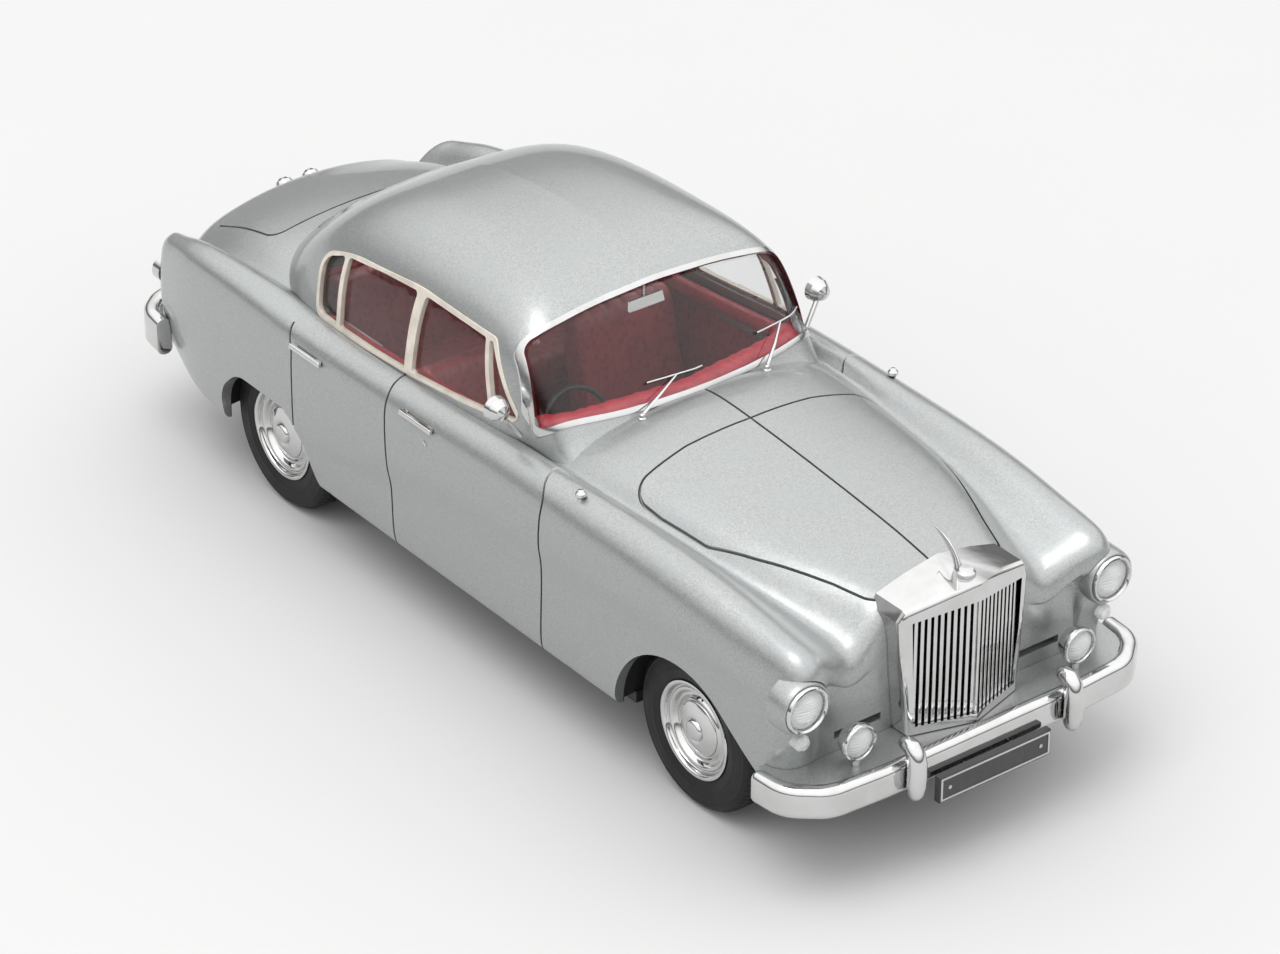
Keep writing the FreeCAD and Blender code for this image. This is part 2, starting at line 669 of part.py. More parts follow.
def padded(name, role, points, length, placement, rounding=0.0, keep=None):
    """A polygon padded evenly about its plane; rounding fillets the edges that keep accepts."""
    body = doc.addObject("PartDesign::Body", name)
    pad = body.newObject("PartDesign::Pad", name + "_pad")
    pad.Profile = draw(body, role, points)
    pad.SideType = "Symmetric"
    pad.Length = number(length)
    if isinstance(length, tuple):
        pad.setExpression("Length", expression(length))
    body.Tip = pad
    if rounding:
        doc.recompute()
        chosen = [f"Edge{i}" for i, edge in enumerate(pad.Shape.Edges, 1) if keep is None or keep(edge)]
        fillet = body.newObject("PartDesign::Fillet", name + "_fillet")
        fillet.Base = (pad, chosen)
        fillet.Radius = rounding
        body.Tip = fillet
    body.Placement = FRAME.multiply(placement)
    return body


def turned(name, axis, points, placement):
    """A polygon in the XY plane turned about the H or V axis of its sketch."""
    body = doc.addObject("PartDesign::Body", name)
    sketch = draw(body, "XY_Plane", points)
    spin = body.newObject("PartDesign::Revolution", name + "_turn")
    spin.Profile = sketch
    spin.ReferenceAxis = (sketch, [axis + "_Axis"])
    spin.Angle = 360
    body.Tip = spin
    body.Placement = FRAME.multiply(placement)
    return body


def at(x, y, z, rotation=Rotation()):
    """A placement in the drawing frame."""
    return Placement(Vector(x, y, z), rotation)


def kept(piece, name):
    """Marks an object as the sub-part of that name."""
    piece.Label = name
    nodes.append(piece)
    return piece


def fitted(name, piece, *neighbours):
    """A sub-part trimmed to sit face to face with its neighbours."""
    for i, neighbour in enumerate(neighbours):
        cut = doc.addObject("Part::Cut", f"{name}_fit{i}")
        cut.Base = piece
        cut.Tool = neighbour
        piece = cut
    return kept(piece, name)


def joined(name, pieces):
    """Several touching shapes fused into one object."""
    fusion = doc.addObject("Part::MultiFuse", name)
    fusion.Shapes = pieces
    return fusion


def grouped(name, pieces):
    """Identical separate solids kept as one object."""
    group = doc.addObject("Part::Compound", name)
    group.Links = pieces
    return group


def rod(name, radius, length, placement):
    """A Part cylinder along its own Z."""
    cylinder = doc.addObject("Part::Cylinder", name)
    cylinder.Radius = number(radius)
    cylinder.Height = number(length)
    for side, coordinate in (("Radius", radius), ("Height", length)):
        if isinstance(coordinate, tuple):
            cylinder.setExpression(side, expression(coordinate))
    cylinder.Placement = FRAME.multiply(placement)
    return cylinder


def block(name, sizes, placement):
    """A Part box with its lowest corner at the placement."""
    box = doc.addObject("Part::Box", name)
    box.Length, box.Width, box.Height = sizes
    box.Placement = FRAME.multiply(placement)
    return box


ALONG_X = Rotation(Vector(0, 1, 0), 90)
UPWARD = Rotation(Vector(1, 0, 0), 90)
FORWARD = Rotation(Vector(0, 0, 1), 180)
REARWARD = Rotation()
SIDES = (("right", -1), ("left", 1))

# ---------------------------------------------------------------- wheels and axles
TYRE = [
    (-1.9, size("rim_radius")), (1.9, size("rim_radius")), (2.2, 6.2), (2.25, 7.0), (2.15, 7.9),
    (1.7, size("tyre_radius", -0.3)), (1.2, size("tyre_radius")), (-1.2, size("tyre_radius")),
    (-1.7, size("tyre_radius", -0.3)), (-2.15, 7.9), (-2.25, 7.0), (-2.2, 6.2)]
WHEEL = [
    (0.8, 0.0), (2.55, 0.0), (2.5, 0.7), (2.3, 1.4), (1.9, 1.95), (1.3, 2.2), (1.3, 2.5), (1.75, 2.75),
    (1.8, 3.1), (1.5, 3.45), (1.2, 3.7), (1.2, 4.15), (1.55, 4.4), (2.1, 4.7), (2.2, 5.0),
    (1.9, size("rim_radius")),
    (-1.9, size("rim_radius")), (-1.9, 4.7), (-1.2, 4.5), (-1.2, 2.0), (-1.9, 1.7),
    (-1.9, size("axle_radius")),
    (0.8, size("axle_radius"))]


def axle_set(end, y):
    """One axle with its two wheels and tyres."""
    reach = dim("wheel_x") + 0.8
    kept(rod(end + "_axle", size("axle_radius"), 2 * reach, at(-reach, y, AXLE_Z, ALONG_X)),
         end + "_axle")
    for side, sign in SIDES:
        place = at(sign * dim("wheel_x"), y, AXLE_Z, Rotation(Vector(0, 0, 1), 0 if sign > 0 else 180))
        kept(turned(f"tyre_{end}_{side}", "H", TYRE, place), f"tyre_{end}_{side}")
        kept(turned(f"wheel_{end}_{side}", "H", WHEEL, place), f"wheel_{end}_{side}")


axle_set("front", FRONT_AXLE_Y)
axle_set("rear", REAR_AXLE_Y)

# ---------------------------------------------------------------- base plate and what it carries
PLATE_OUTLINE = [(x, y) for y, x in PLATE_RECESS] + [(-x, y) for y, x in reversed(PLATE_RECESS)]
BEARING_X = (9.6, 12.2)


def base_plate():
    """The base plate: an axle bearing beside each wheel, two screw holes and two plinth bosses."""
    slab = padded("plate_slab", "XY_Plane", PLATE_OUTLINE, BASE_Z - PLATE_Z,
                  at(0, 0, (BASE_Z + PLATE_Z) / 2))
    solids = [slab]
    holes = []
    for end, y in (("front", FRONT_AXLE_Y), ("rear", REAR_AXLE_Y)):
        for side, sign in SIDES:
            low_x = sign * (BEARING_X[0] + BEARING_X[1]) / 2
            profile = [(-2.4, -0.6), (2.4, -0.6), (1.7, size("tyre_radius", -BASE_Z + 1.6)),
                       (-1.7, size("tyre_radius", -BASE_Z + 1.6))]
            solids.append(padded(f"bearing_{end}_{side}", "YZ_Plane", profile,
                          BEARING_X[1] - BEARING_X[0],
                                 at(low_x, y, BASE_Z)))
        holes.append(rod(f"bearing_bore_{end}", size("axle_radius", 0.05), 28,
                     at(-14, y, AXLE_Z, ALONG_X)))
    for i, y in enumerate(PLINTH_Y):
        solids.append(rod(f"plinth_boss_{i}", 2.0, 3.0, at(0, y, BASE_Z - 0.2)))
        holes.append(rod(f"plinth_bore_{i}", size("plinth_hole_radius"), 6.5, at(0, y, PLATE_Z - 1)))
    for i, y in enumerate(POST_Y):
        holes.append(rod(f"screw_bore_{i}", 0.8, 4, at(0, y, PLATE_Z - 1)))
    return fitted("base_plate", joined("plate_solids", solids), joined("plate_holes", holes))


plate = base_plate()
SCREW = [(0, -0.7), (1.4, -0.7), (1.5, -0.5), (1.5, 0.0), (0.8, 0.0), (0.8, 5.4), (0, 6.2)]
kept(grouped("screws", [turned(f"screw_{i}", "V", SCREW, at(0, y, PLATE_Z, UPWARD)) for i,
     y in enumerate(POST_Y)]),
     "base_screws")
PIPE_R = 0.65
pipe = rod("pipe_solid", PIPE_R, 20, at(-8.5, 42.5, PLATE_Z - PIPE_R, Rotation(Vector(1, 0, 0), -90)))
kept(pipe, "exhaust_pipe")

# ---------------------------------------------------------------- cabin
SEAT = [(1.5, 9.2), (1.5, 13.4), (2.6, 14.6), (10.8, 14.0), (12.2, 15.0), (14.6, 25.6), (15.6, 26.3),
        (16.8, 25.6), (15.2, 9.2)]
REAR_SEAT = [(21.5, 11.7), (21.5, 13.4), (22.6, 14.6), (30.8, 14.2), (32.2, 15.2), (35.4, 25.8),
             (36.6, 26.3), (38.6, 25.8), (38.6, 11.7)]
DASH = [(-12.2, 17.0), (-12.2, 25.2), (-10.4, 27.4), (-8.6, 28.2), (-7.0, 27.8), (-6.2, 26.6),
        (-6.8, 24.4), (-8.4, 17.0)]


def interior_tub():
    """Floor, door cards and rear bulkhead in one moulding; the floor steps up over the rear axle."""
    floor_front = block("tub_floor", (38.6, 37.4, 1.2), at(-19.3, -12.2, BASE_Z))
    floor_rear = block("tub_floor_rear", (26.4, 18.2, 0.8), at(-13.2, 25.0, 10.9))
    step = block("tub_step", (26.4, 0.9, 3.7), at(-13.2, 24.3, BASE_Z))
    bulkhead = block("tub_bulkhead", (26.4, 0.9, 15.0), at(-13.2, 42.3, BASE_Z))
    cards = [block(f"door_card_{side}", (0.9, 37.4, 15.8), at(sign * 18.85 - 0.45, -12.2, BASE_Z))
             for side, sign in SIDES]
    tunnel = block("tub_tunnel", (4.0, 37.0, 2.6), at(-2.0, -12.0, BASE_Z + 1.0))
    return joined("tub_solids", [floor_front, floor_rear, step, bulkhead, tunnel] + cards)


tub = fitted("interior_tub", interior_tub(), body_shell)
for side, sign in SIDES:
    fitted("front_seat_" + side, padded("seat_solid_" + side, "YZ_Plane", SEAT, 12.8,
           at(sign * 9.6, 0, 0), 0.9), tub)
fitted("rear_seat", padded("rear_seat_solid", "YZ_Plane", REAR_SEAT, 25.6, at(0, 0, 0), 0.9), tub)
dashboard = fitted("dashboard", padded("dash_solid", "YZ_Plane", DASH, 31.6, at(0, 0, 0), 0.5),
                   body_shell, windscreen_glass,
                   windscreen_frame, tub)
WHEEL_TILT = Rotation(Vector(1, 0, 0), 62)
HELM = Vector(-8.6, -2.6, 24.6)
column_axis = WHEEL_TILT.multVec(Vector(0, 0, 1))
column = rod("column_solid", 0.45, 5.4, Placement(HELM + column_axis * 0.25, WHEEL_TILT))
fitted("steering_column", column, dashboard)


def steering_wheel():
    """Rim, three spokes and boss."""
    rim = doc.addObject("Part::Torus", "helm_rim")
    rim.Radius1 = 4.0
    rim.Radius2 = 0.28
    rim.Placement = FRAME.multiply(Placement(HELM, WHEEL_TILT))
    pieces = [rim, rod("helm_boss", 0.8, 0.5, Placement(HELM - column_axis * 0.25, WHEEL_TILT))]
    for i, angle in enumerate((0, 180, 270)):
        spoke = WHEEL_TILT.multiply(Rotation(Vector(0, 0, 1), angle)).multiply(ALONG_X)
        pieces.append(rod(f"helm_spoke_{i}", 0.17, 3.9, Placement(HELM, spoke)))
    return joined("helm_solids", pieces)


kept(steering_wheel(), "steering_wheel")
mirror_glass = padded("mirror_glass", "XY_Plane", [(-2.3, -0.65), (2.3, -0.65), (2.1, 0.65),
                      (-2.1, 0.65)], 0.5,
                      at(0, -2.6, 36.3, Rotation(Vector(1, 0, 0), 80)), 0.15)
mirror_stem = rod("mirror_stem", 0.22, 3.5, at(0, -2.2, 36.4))
fitted("interior_mirror", joined("mirror_solids", [mirror_glass, mirror_stem]), body_shell,
       windscreen_glass)

# ---------------------------------------------------------------- radiator and mascot
SHELL_FRONT = [(0.0, 12.9), (7.1, 12.9), (7.8, 20.0), (8.2, 25.9), (7.5, 27.0), (4.2, 27.9), (0.0, 28.6)]
SHELL_OPENING = [(0.0, 13.8), (6.3, 13.8), (6.7, 20.0), (6.9, 25.7), (0.0, 26.7)]
PROW_Y = -55.4
PROW_SWEEP = 0.29
SLAT_COUNT = 10
SLAT_PITCH = 0.66


def upright(points, y_near, y_far):
    """A polygon drawn in (X, Z) extruded between two stations."""
    face = Part.Face(Part.makePolygon([Vector(x, y_near, z) for x, z in points + points[:1]]))
    return face.extrude(Vector(0, y_far - y_near, 0))


def prow(y_tip):
    """Everything of the +X half behind a swept-back plane whose tip is on X = 0."""
    corner = y_tip + PROW_SWEEP * 12
    face = Part.Face(Part.makePolygon([Vector(0, y_tip, 5), Vector(12, corner, 5), Vector(12, -40, 5),
                                       Vector(0, -40, 5), Vector(0, y_tip, 5)]))
    return face.extrude(Vector(0, 0, 30))


def radiator_shell():
    """Half the plated shell: a swept-back front, a rounded brow and an open grille aperture."""
    outer = upright(SHELL_FRONT, -58, -48.6).common(prow(PROW_Y))
    brow = [edge for edge in outer.Edges if edge.BoundBox.ZMin > 12.95 and edge.BoundBox.XMin > 0.01
            and edge.BoundBox.YMax < -50]
    outer = outer.makeFillet(0.9, brow)
    aperture = upright(SHELL_OPENING, -58, -51.2).common(prow(PROW_Y - 2))
    return outer.cut(aperture)


def radiator_core():
    """Half the dark backing plate at the bottom of the grille aperture."""
    return upright(SHELL_OPENING, -58, -51.2).common(prow(PROW_Y + 2.0)).cut(prow(PROW_Y + 2.6))


def radiator_slats():
    """Half the upright slats, each a thin bar across the aperture, standing on the backing plate."""
    slats = []
    for i in range(SLAT_COUNT):
        x = SLAT_PITCH * (i + 0.5) - 0.02
        bar = Part.makeBox(0.36, 12, 16, Vector(x - 0.18, -60, 11))
        bar = bar.common(upright(SHELL_OPENING, -58, -51.2))
        slats.append(bar.common(prow(PROW_Y + 0.35)).cut(prow(PROW_Y + 2.0)))
    return slats


def centre_bar():
    """Half the bar on the grille's middle line."""
    bar = Part.makeBox(0.18, 12, 16, Vector(0, -60, 11))
    bar = bar.common(upright(SHELL_OPENING, -58, -51.2))
    return bar.common(prow(PROW_Y + 0.1)).cut(prow(PROW_Y + 2.0))


radiator = fitted("radiator_shell", raw("radiator_casing", both_halves(radiator_shell())), outer_skin)
fitted("radiator_core", raw("radiator_back", both_halves(radiator_core())), radiator)
slats = radiator_slats()
bars = [both_halves(centre_bar())] + slats + [slat.mirror(MIDDLE, ACROSS) for slat in slats]
fitted("radiator_slats", raw("radiator_bars", Part.makeCompound(bars)), radiator)

CAP = [(0, -0.6), (0.95, -0.6), (0.95, 0.35), (0.7, 0.6), (0, 0.65)]
fitted("radiator_cap", turned("cap_solid", "V", CAP, at(0, -53.0, 28.5, UPWARD)), radiator)
FIN = [(-51.9, 27.8), (-50.7, 27.8), (-50.1, 28.9), (-49.0, 30.6), (-47.6, 31.6), (-49.2, 31.5),
       (-50.8, 30.6), (-52.1, 29.1)]
fitted("mascot", padded("mascot_solid", "YZ_Plane", FIN, 0.8, at(0, 0, 0), 0.2), radiator, outer_skin)

# ---------------------------------------------------------------- bumpers, apron and plates
def blade(points, radius, width, low, high):
    """A bumper blade: a bent bar of constant width, its long edges rounded."""
    bar = through_top(strip(points, radius, width), low, high)
    long_edges = [edge for edge in bar.Edges
                  if edge.BoundBox.ZLength < 0.01 and edge.Length > width * 1.5]
    return bar.makeFillet(0.82, long_edges)


FRONT_BLADE = [(-22.5, -49.2), (-22.1, -53.2), (-18.8, -56.0), (-12.5, -56.4), (12.5, -56.4),
               (18.8, -56.0), (22.1, -53.2), (22.5, -49.2)]
REAR_BLADE = [(-21.2, 57.2), (-20.8, 60.8), (-18.2, 63.1), (-12.5, 63.7), (12.5, 63.7), (18.2, 63.1),
              (20.8, 60.8), (21.2, 57.2)]
FRONT_BLADE_Z = (9.8, 13.3)
REAR_BLADE_Z = (10.6, 15.0)
BLADE_WIDTH = 1.8
BEND = 4.6

front_bumper = fitted("front_bumper", raw("front_blade", blade(FRONT_BLADE, BEND, BLADE_WIDTH,
                      *FRONT_BLADE_Z)), outer_skin)
rear_bumper = fitted("rear_bumper", raw("rear_blade", blade(REAR_BLADE, BEND, BLADE_WIDTH,
                     *REAR_BLADE_Z)), outer_skin)
APRON = [(-21.7, -48.6), (-21.2, -52.8), (-18.4, -55.2), (-12.5, -55.7), (12.5, -55.7), (18.4, -55.2),
         (21.2, -52.8), (21.7, -48.6)]
apron = fitted("front_apron", padded("apron_solid", "XY_Plane", APRON, 0.6, at(0, 0, 12.5)), outer_skin,
               front_bumper,
               radiator)
OVERRIDER = [(-1.3, -3.7), (0.7, -3.7), (1.4, -2.4), (1.6, 0.6), (1.0, 2.6), (-0.6, 3.3), (-2.4, 2.9),
             (-2.4, 1.4), (-1.3, 1.2)]


def overriders(end, y, z, facing, neighbour):
    """The pair of upright horns on a bumper."""
    turn = Rotation(Vector(0, 0, 1), 0 if facing > 0 else 180)
    horns = [padded(f"{end}_horn_{side}", "YZ_Plane", OVERRIDER, 2.0, at(sign * 10.0, y, z, turn), 0.45)
             for side, sign in SIDES]
    fitted(end + "_overriders", grouped(end + "_horns", horns), neighbour)


overriders("front", -57.8, 12.6, -1, front_bumper)
overriders("rear", 64.9, 14.4, 1, rear_bumper)
front_plate = block("front_plate_solid", (14.2, 1.2, 2.9), at(-7.1, -58.4, 7.8))
fitted("front_number_plate", front_plate, front_bumper)
rear_plate = block("rear_plate_solid", (13.0, 3.0, 3.0), at(-6.5, 60.6, 16.2))
fitted("rear_number_plate", rear_plate, outer_skin)

# ---------------------------------------------------------------- lamps
BEZEL = [(2.1, -2.0), (2.75, -2.0), (2.8, 0.2), (2.55, 0.6), (2.3, 0.5), (2.1, 0.1)]
LENS = [(0, -2.0), (2.1, -2.0), (2.1, 0.1), (1.7, 0.45), (1.0, 0.72), (0, 0.85)]
FOG_BOWL = [(0, -1.9), (0.8, -1.75), (1.5, -1.2), (1.95, -0.2), (2.0, 0.3), (1.75, 0.5), (1.65, 0.2),
            (0, 0.2)]
FOG_LENS = [(0, 0.2), (1.65, 0.2), (1.2, 0.55), (0, 0.8)]
SMALL_LENS = [(0, -0.8), (0.85, -0.8), (0.85, 0.1), (0.6, 0.45), (0, 0.6)]
TAIL_BEZEL = [(0.95, -1.0), (1.5, -1.0), (1.5, 0.3), (1.25, 0.5), (0.95, 0.3)]
TAIL_LENS = [(0, -1.0), (0.95, -1.0), (0.95, 0.3), (0.6, 0.8), (0, 1.0)]
DOME = [(0, -0.6), (1.15, -0.6), (1.15, 0.1), (0.9, 0.7), (0.45, 1.0), (0, 1.1)]
FOG_LAMP = (14.0, -54.2, 15.6)
SIDE_LAMP = (19.2, -52.1, 16.4)
for side, sign in SIDES:
    x, y, z = HEADLAMP
    fitted("headlamp_bezel_" + side, turned("bezel_" + side, "V", BEZEL, at(sign * x, y, z, FORWARD)),
           outer_skin)
    fitted("headlamp_lens_" + side, turned("lens_" + side, "V", LENS, at(sign * x, y, z, FORWARD)),
           outer_skin)
    x, y, z = FOG_LAMP
    bowl = turned("bowl_" + side, "V", FOG_BOWL, at(sign * x, y, z, FORWARD))
    stem = rod("fog_stem_" + side, 0.45, z - 12.7, at(sign * x, y + 0.3, 12.7))
    stem_top = doc.addObject("Part::Fuse", "fog_body_" + side)
    stem_top.Base = bowl
    stem_top.Tool = stem
    lens = turned("fog_glass_" + side, "V", FOG_LENS, at(sign * x, y, z, FORWARD))
    fitted("fog_lamp_bowl_" + side, stem_top, apron, lens)
    kept(lens, "fog_lamp_lens_" + side)


def pair_of(stem, profile, x, y, z, rotation):
    """Two identical turned pieces, one on each side."""
    return grouped(stem + "_pair", [turned(f"{stem}_{side}", "V", profile, at(sign * x, y, z, rotation))
                                    for side, sign in SIDES])


fitted("side_lamp_lenses", pair_of("side_lamp", SMALL_LENS, *SIDE_LAMP, FORWARD), outer_skin)
fitted("tail_lamp_bezels", pair_of("tail_bezel", TAIL_BEZEL, 18.6, 60.6, 19.2, REARWARD), outer_skin)
fitted("tail_lamp_lenses", pair_of("tail_lens", TAIL_LENS, 18.6, 60.6, 19.2, REARWARD), outer_skin)
BOOT_TURN = Rotation(Vector(1, 0, 0), 50)
fitted("boot_lamps", pair_of("boot_dome", DOME, 1.75, 61.6, 23.6, BOOT_TURN), outer_skin)

# ---------------------------------------------------------------- handles, mirrors, wipers and markers
HANDLE = [(-2.8, -0.3), (2.8, -0.3), (2.8, 0.3), (-2.8, 0.3)]
HANDLES = ((7.2, 25.3, 21.75), (27.2, 24.2, 21.9))
for side, sign in SIDES:
    pieces = []
    for i, (y, z, x) in enumerate(HANDLES):
        grip = padded(f"grip_{side}_{i}", "YZ_Plane", HANDLE, 0.5, at(sign * (x + 0.35), y, z), 0.15)
        feet = [block(f"foot_{side}_{i}_{k}", (2.0, 0.8, 0.5),
                at(sign * (x - 0.6) - 1.0, y + end - 0.4, z - 0.25))
                for k, end in enumerate((-2.2, 2.2))]
        pieces.append(joined(f"handle_{side}_{i}", [grip] + feet))
    fitted("door_handles_" + side, grouped("handles_" + side, pieces), outer_skin)

MIRROR_HEAD = [(-1.1, 0), (-1.05, 0.9), (-0.75, 1.35), (0, 1.25), (0.8, 0.8), (1.2, 0)]
mirrors = []
for side, sign in SIDES:
    head = turned("mirror_head_" + side, "H", MIRROR_HEAD, at(sign * 20.6, -5.4, 31.9,
                  Rotation(Vector(0, 0, 1), -90)))
    lean = Rotation(Vector(0, 0, 1), Vector(sign * 2.2, 0.7, 2.9))
    mirrors.append(joined("mirror_" + side, [head, rod("mirror_arm_" + side, 0.28, 3.6,
                   at(sign * 18.4, -6.1, 28.6, lean))]))
fitted("door_mirrors", grouped("mirrors", mirrors), outer_skin)

MARKER = [(0, -1.0), (0.35, -1.0), (0.3, 0.7), (0.55, 1.0), (0.55, 1.3), (0.3, 1.6), (0, 1.65)]
fitted("wing_markers", pair_of("marker", MARKER, 20.0, -18.25, 26.95, UPWARD), outer_skin)

wiper_pieces = []
for i, (foot, tip) in enumerate((((-8.1, -12.6, 30.4), (-1.2, -10.3, 32.2)),
                                ((8.2, -12.4, 30.3), (13.6, -9.6, 32.0)))):
    start, end = Vector(*foot), Vector(*tip)
    along = end - start
    lean = Rotation(Vector(0, 0, 1), along)
    spindle = rod(f"wiper_spindle_{i}", 0.4, 1.5, at(foot[0], foot[1], foot[2] - 0.8))
    arm = rod(f"wiper_arm_{i}", 0.16, along.Length, Placement(start, lean))
    wiper_pieces.append(joined(f"wiper_{i}", [spindle, arm]))
fitted("wipers", grouped("wiper_pair", wiper_pieces), outer_skin, windscreen_glass)

# ---------------------------------------------------------------- checks and export
doc.recompute()
for item in doc.Objects:
    if {"Invalid", "Error"} & set(item.State):
        raise RuntimeError(f"{item.Name} did not compute: {item.State}")
for piece in nodes:
    if piece.Shape.isNull() or not piece.Shape.isValid():
        raise RuntimeError(f"{piece.Label} has no valid shape")
for piece in nodes:
    piece.Shape.exportStep(f"parts/{piece.Label}.step")
    print(f"{piece.Label}: {len(piece.Shape.Solids)} solids, {piece.Shape.Volume:.1f} mm3")
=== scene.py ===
"""Looks for the diecast collector car: paint, plating, glass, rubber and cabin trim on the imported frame."""

import json
import math

import bmesh
import bpy
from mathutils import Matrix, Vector
from mathutils.bvhtree import BVHTree


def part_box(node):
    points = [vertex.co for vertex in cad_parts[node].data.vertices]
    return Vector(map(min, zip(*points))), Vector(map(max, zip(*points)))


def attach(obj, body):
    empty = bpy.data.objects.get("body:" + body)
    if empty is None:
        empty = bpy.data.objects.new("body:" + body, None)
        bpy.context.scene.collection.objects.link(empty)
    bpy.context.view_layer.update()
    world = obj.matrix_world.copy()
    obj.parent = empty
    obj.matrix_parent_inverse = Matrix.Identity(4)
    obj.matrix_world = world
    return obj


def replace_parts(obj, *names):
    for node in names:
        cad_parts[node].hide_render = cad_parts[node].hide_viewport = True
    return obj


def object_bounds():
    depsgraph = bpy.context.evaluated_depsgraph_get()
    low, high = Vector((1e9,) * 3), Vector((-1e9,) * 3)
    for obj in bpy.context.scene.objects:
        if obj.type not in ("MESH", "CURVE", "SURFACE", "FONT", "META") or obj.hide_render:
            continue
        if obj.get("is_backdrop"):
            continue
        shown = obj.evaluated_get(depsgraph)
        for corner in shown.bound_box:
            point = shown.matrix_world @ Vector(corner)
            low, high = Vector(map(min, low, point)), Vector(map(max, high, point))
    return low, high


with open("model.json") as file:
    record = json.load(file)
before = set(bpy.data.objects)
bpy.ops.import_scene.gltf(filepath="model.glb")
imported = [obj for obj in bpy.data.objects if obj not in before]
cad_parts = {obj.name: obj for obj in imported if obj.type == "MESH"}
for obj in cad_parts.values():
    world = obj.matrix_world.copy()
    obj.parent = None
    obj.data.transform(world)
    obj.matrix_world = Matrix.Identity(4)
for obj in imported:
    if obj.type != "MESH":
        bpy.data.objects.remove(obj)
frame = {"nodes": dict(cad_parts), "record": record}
for cad_object in frame["nodes"].values():
    cad_object.data.update()
bpy.context.view_layer.update()

MM = 0.001
CAR = "car_body"
# Which way each side faces along X and each end along Y.
SIDES = {"right": -1, "left": 1}
ENDS = {"front": -1, "rear": 1}
ACROSS = Vector((1, 0, 0))
FORWARD = Vector((0, -1, 0))
UP = Vector((0, 0, 1))


# ------------------------------------------------------------------ finishes
class Finish:
    """A material being built: a Principled shader and short ways to put nodes in front of it."""

    def __init__(self, name, **values):
        self.material = bpy.data.materials.new(name)
        self.material.use_nodes = True
        self.tree = self.material.node_tree
        self.shader = self.tree.nodes["Principled BSDF"]
        self.place = self.add("ShaderNodeTexCoord").outputs["Object"]
        self.set(**values)

    def feed(self, socket, value):
        """Links a node's output to a socket, or gives the socket a plain value."""
        if isinstance(value, bpy.types.NodeSocket):
            self.tree.links.new(value, socket)
        else:
            socket.default_value = value

    def set(self, **values):
        """Feeds the shader's own sockets; an underscore in a name stands for a space."""
        for name, value in values.items():
            self.feed(self.shader.inputs[name.replace("_", " ")], value)

    def add(self, kind, properties=(), **inputs):
        """A new node with its properties and inputs."""
        made = self.tree.nodes.new(kind)
        for name, value in dict(properties).items():
            setattr(made, name, value)
        for name, value in inputs.items():
            self.feed(made.inputs[name.replace("_", " ")], value)
        return made

    def noise(self, scale, detail=3.0, vector=None):
        """Cloudy noise from 0 to 1; scale is in waves to the metre."""
        return self.add("ShaderNodeTexNoise", Vector=vector or self.place, Scale=scale,
                        Detail=detail).outputs[0]

    def cells(self, scale, output="Distance"):
        """Voronoi cells; scale is in cells to the metre."""
        return self.add("ShaderNodeTexVoronoi", Vector=self.place, Scale=scale).outputs[output]

    def ramp(self, value, low, high, start=0.0, end=1.0, smooth=True):
        """Value from low to high mapped to start to end."""
        kind = {"interpolation_type": "SMOOTHSTEP" if smooth else "LINEAR"}
        made = self.add("ShaderNodeMapRange", kind, Value=value)
        for socket, number in zip(("From Min", "From Max", "To Min", "To Max"), (low, high, start, end)):
            made.inputs[socket].default_value = number
        return made.outputs[0]

    def maths(self, operation, a, b=0.0):
        """One arithmetic node."""
        made = self.add("ShaderNodeMath", {"operation": operation})
        self.feed(made.inputs[0], a)
        self.feed(made.inputs[1], b)
        return made.outputs[0]

    def mix(self, factor, a, b):
        """Colour a where factor is 0 and b where it is 1."""
        made = self.add("ShaderNodeMix", {"data_type": "RGBA"})
        self.feed(made.inputs["Factor"], factor)
        self.feed(made.inputs[6], a)
        self.feed(made.inputs[7], b)
        return made.outputs[2]

    def painted_shade(self, reach, closed, clear):
        """How much painted shade to lay on: 1 deep in grooves and corners about as narrow as reach, where
        little light gets in, 0 on open faces.
        """
        light = self.add("ShaderNodeAmbientOcclusion", {"samples": 6}, Distance=reach)
        return self.ramp(light.outputs["AO"], closed, clear, 1.0, 0.0)

    def bump(self, height, distance, strength=1.0, below=None):
        """A bump of that height in metres on the shader's normal, on top of another bump if given."""
        made = self.add("ShaderNodeBump", Height=height, Distance=distance, Strength=strength)
        if below:
            self.feed(made.inputs["Normal"], below)
        self.set(Normal=made.outputs[0])
        return made.outputs[0]

    def axes(self):
        """The X, Y and Z of the point being shaded."""
        return self.add("ShaderNodeSeparateXYZ", Vector=self.place).outputs


def grey(value, tint=(1.0, 1.0, 1.0)):
    """A colour of that brightness, slightly tinted."""
    return (value * tint[0], value * tint[1], value * tint[2], 1.0)


def darker(colour, share):
    """A colour with that share of its brightness left."""
    return tuple(c * share for c in colour[:3]) + (1.0,)


SILVER = (0.97, 1.0, 0.995)
BLACK = grey(0.012)
HEADLINING = (0.42, 0.20, 0.19, 1.0)
PAINT_METAL = 0.78
# The wells reach this far from an axle and this far from the middle of the car.
WELL_RADIUS = 10.4 * MM
WELL_HALF_WIDTH = 20.4 * MM
# The lining faces a line at this height, starts this far above it, and turns at least this much towards it.
CABIN_MIDDLE = 27.5 * MM
LINING_RISE = 1.5 * MM
LINING_FACING = -2 * MM


def axle_line(end):
    """The Y and Z of an axle."""
    low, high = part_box(end + "_axle")
    return (low.y + high.y) / 2, (low.z + high.z) / 2


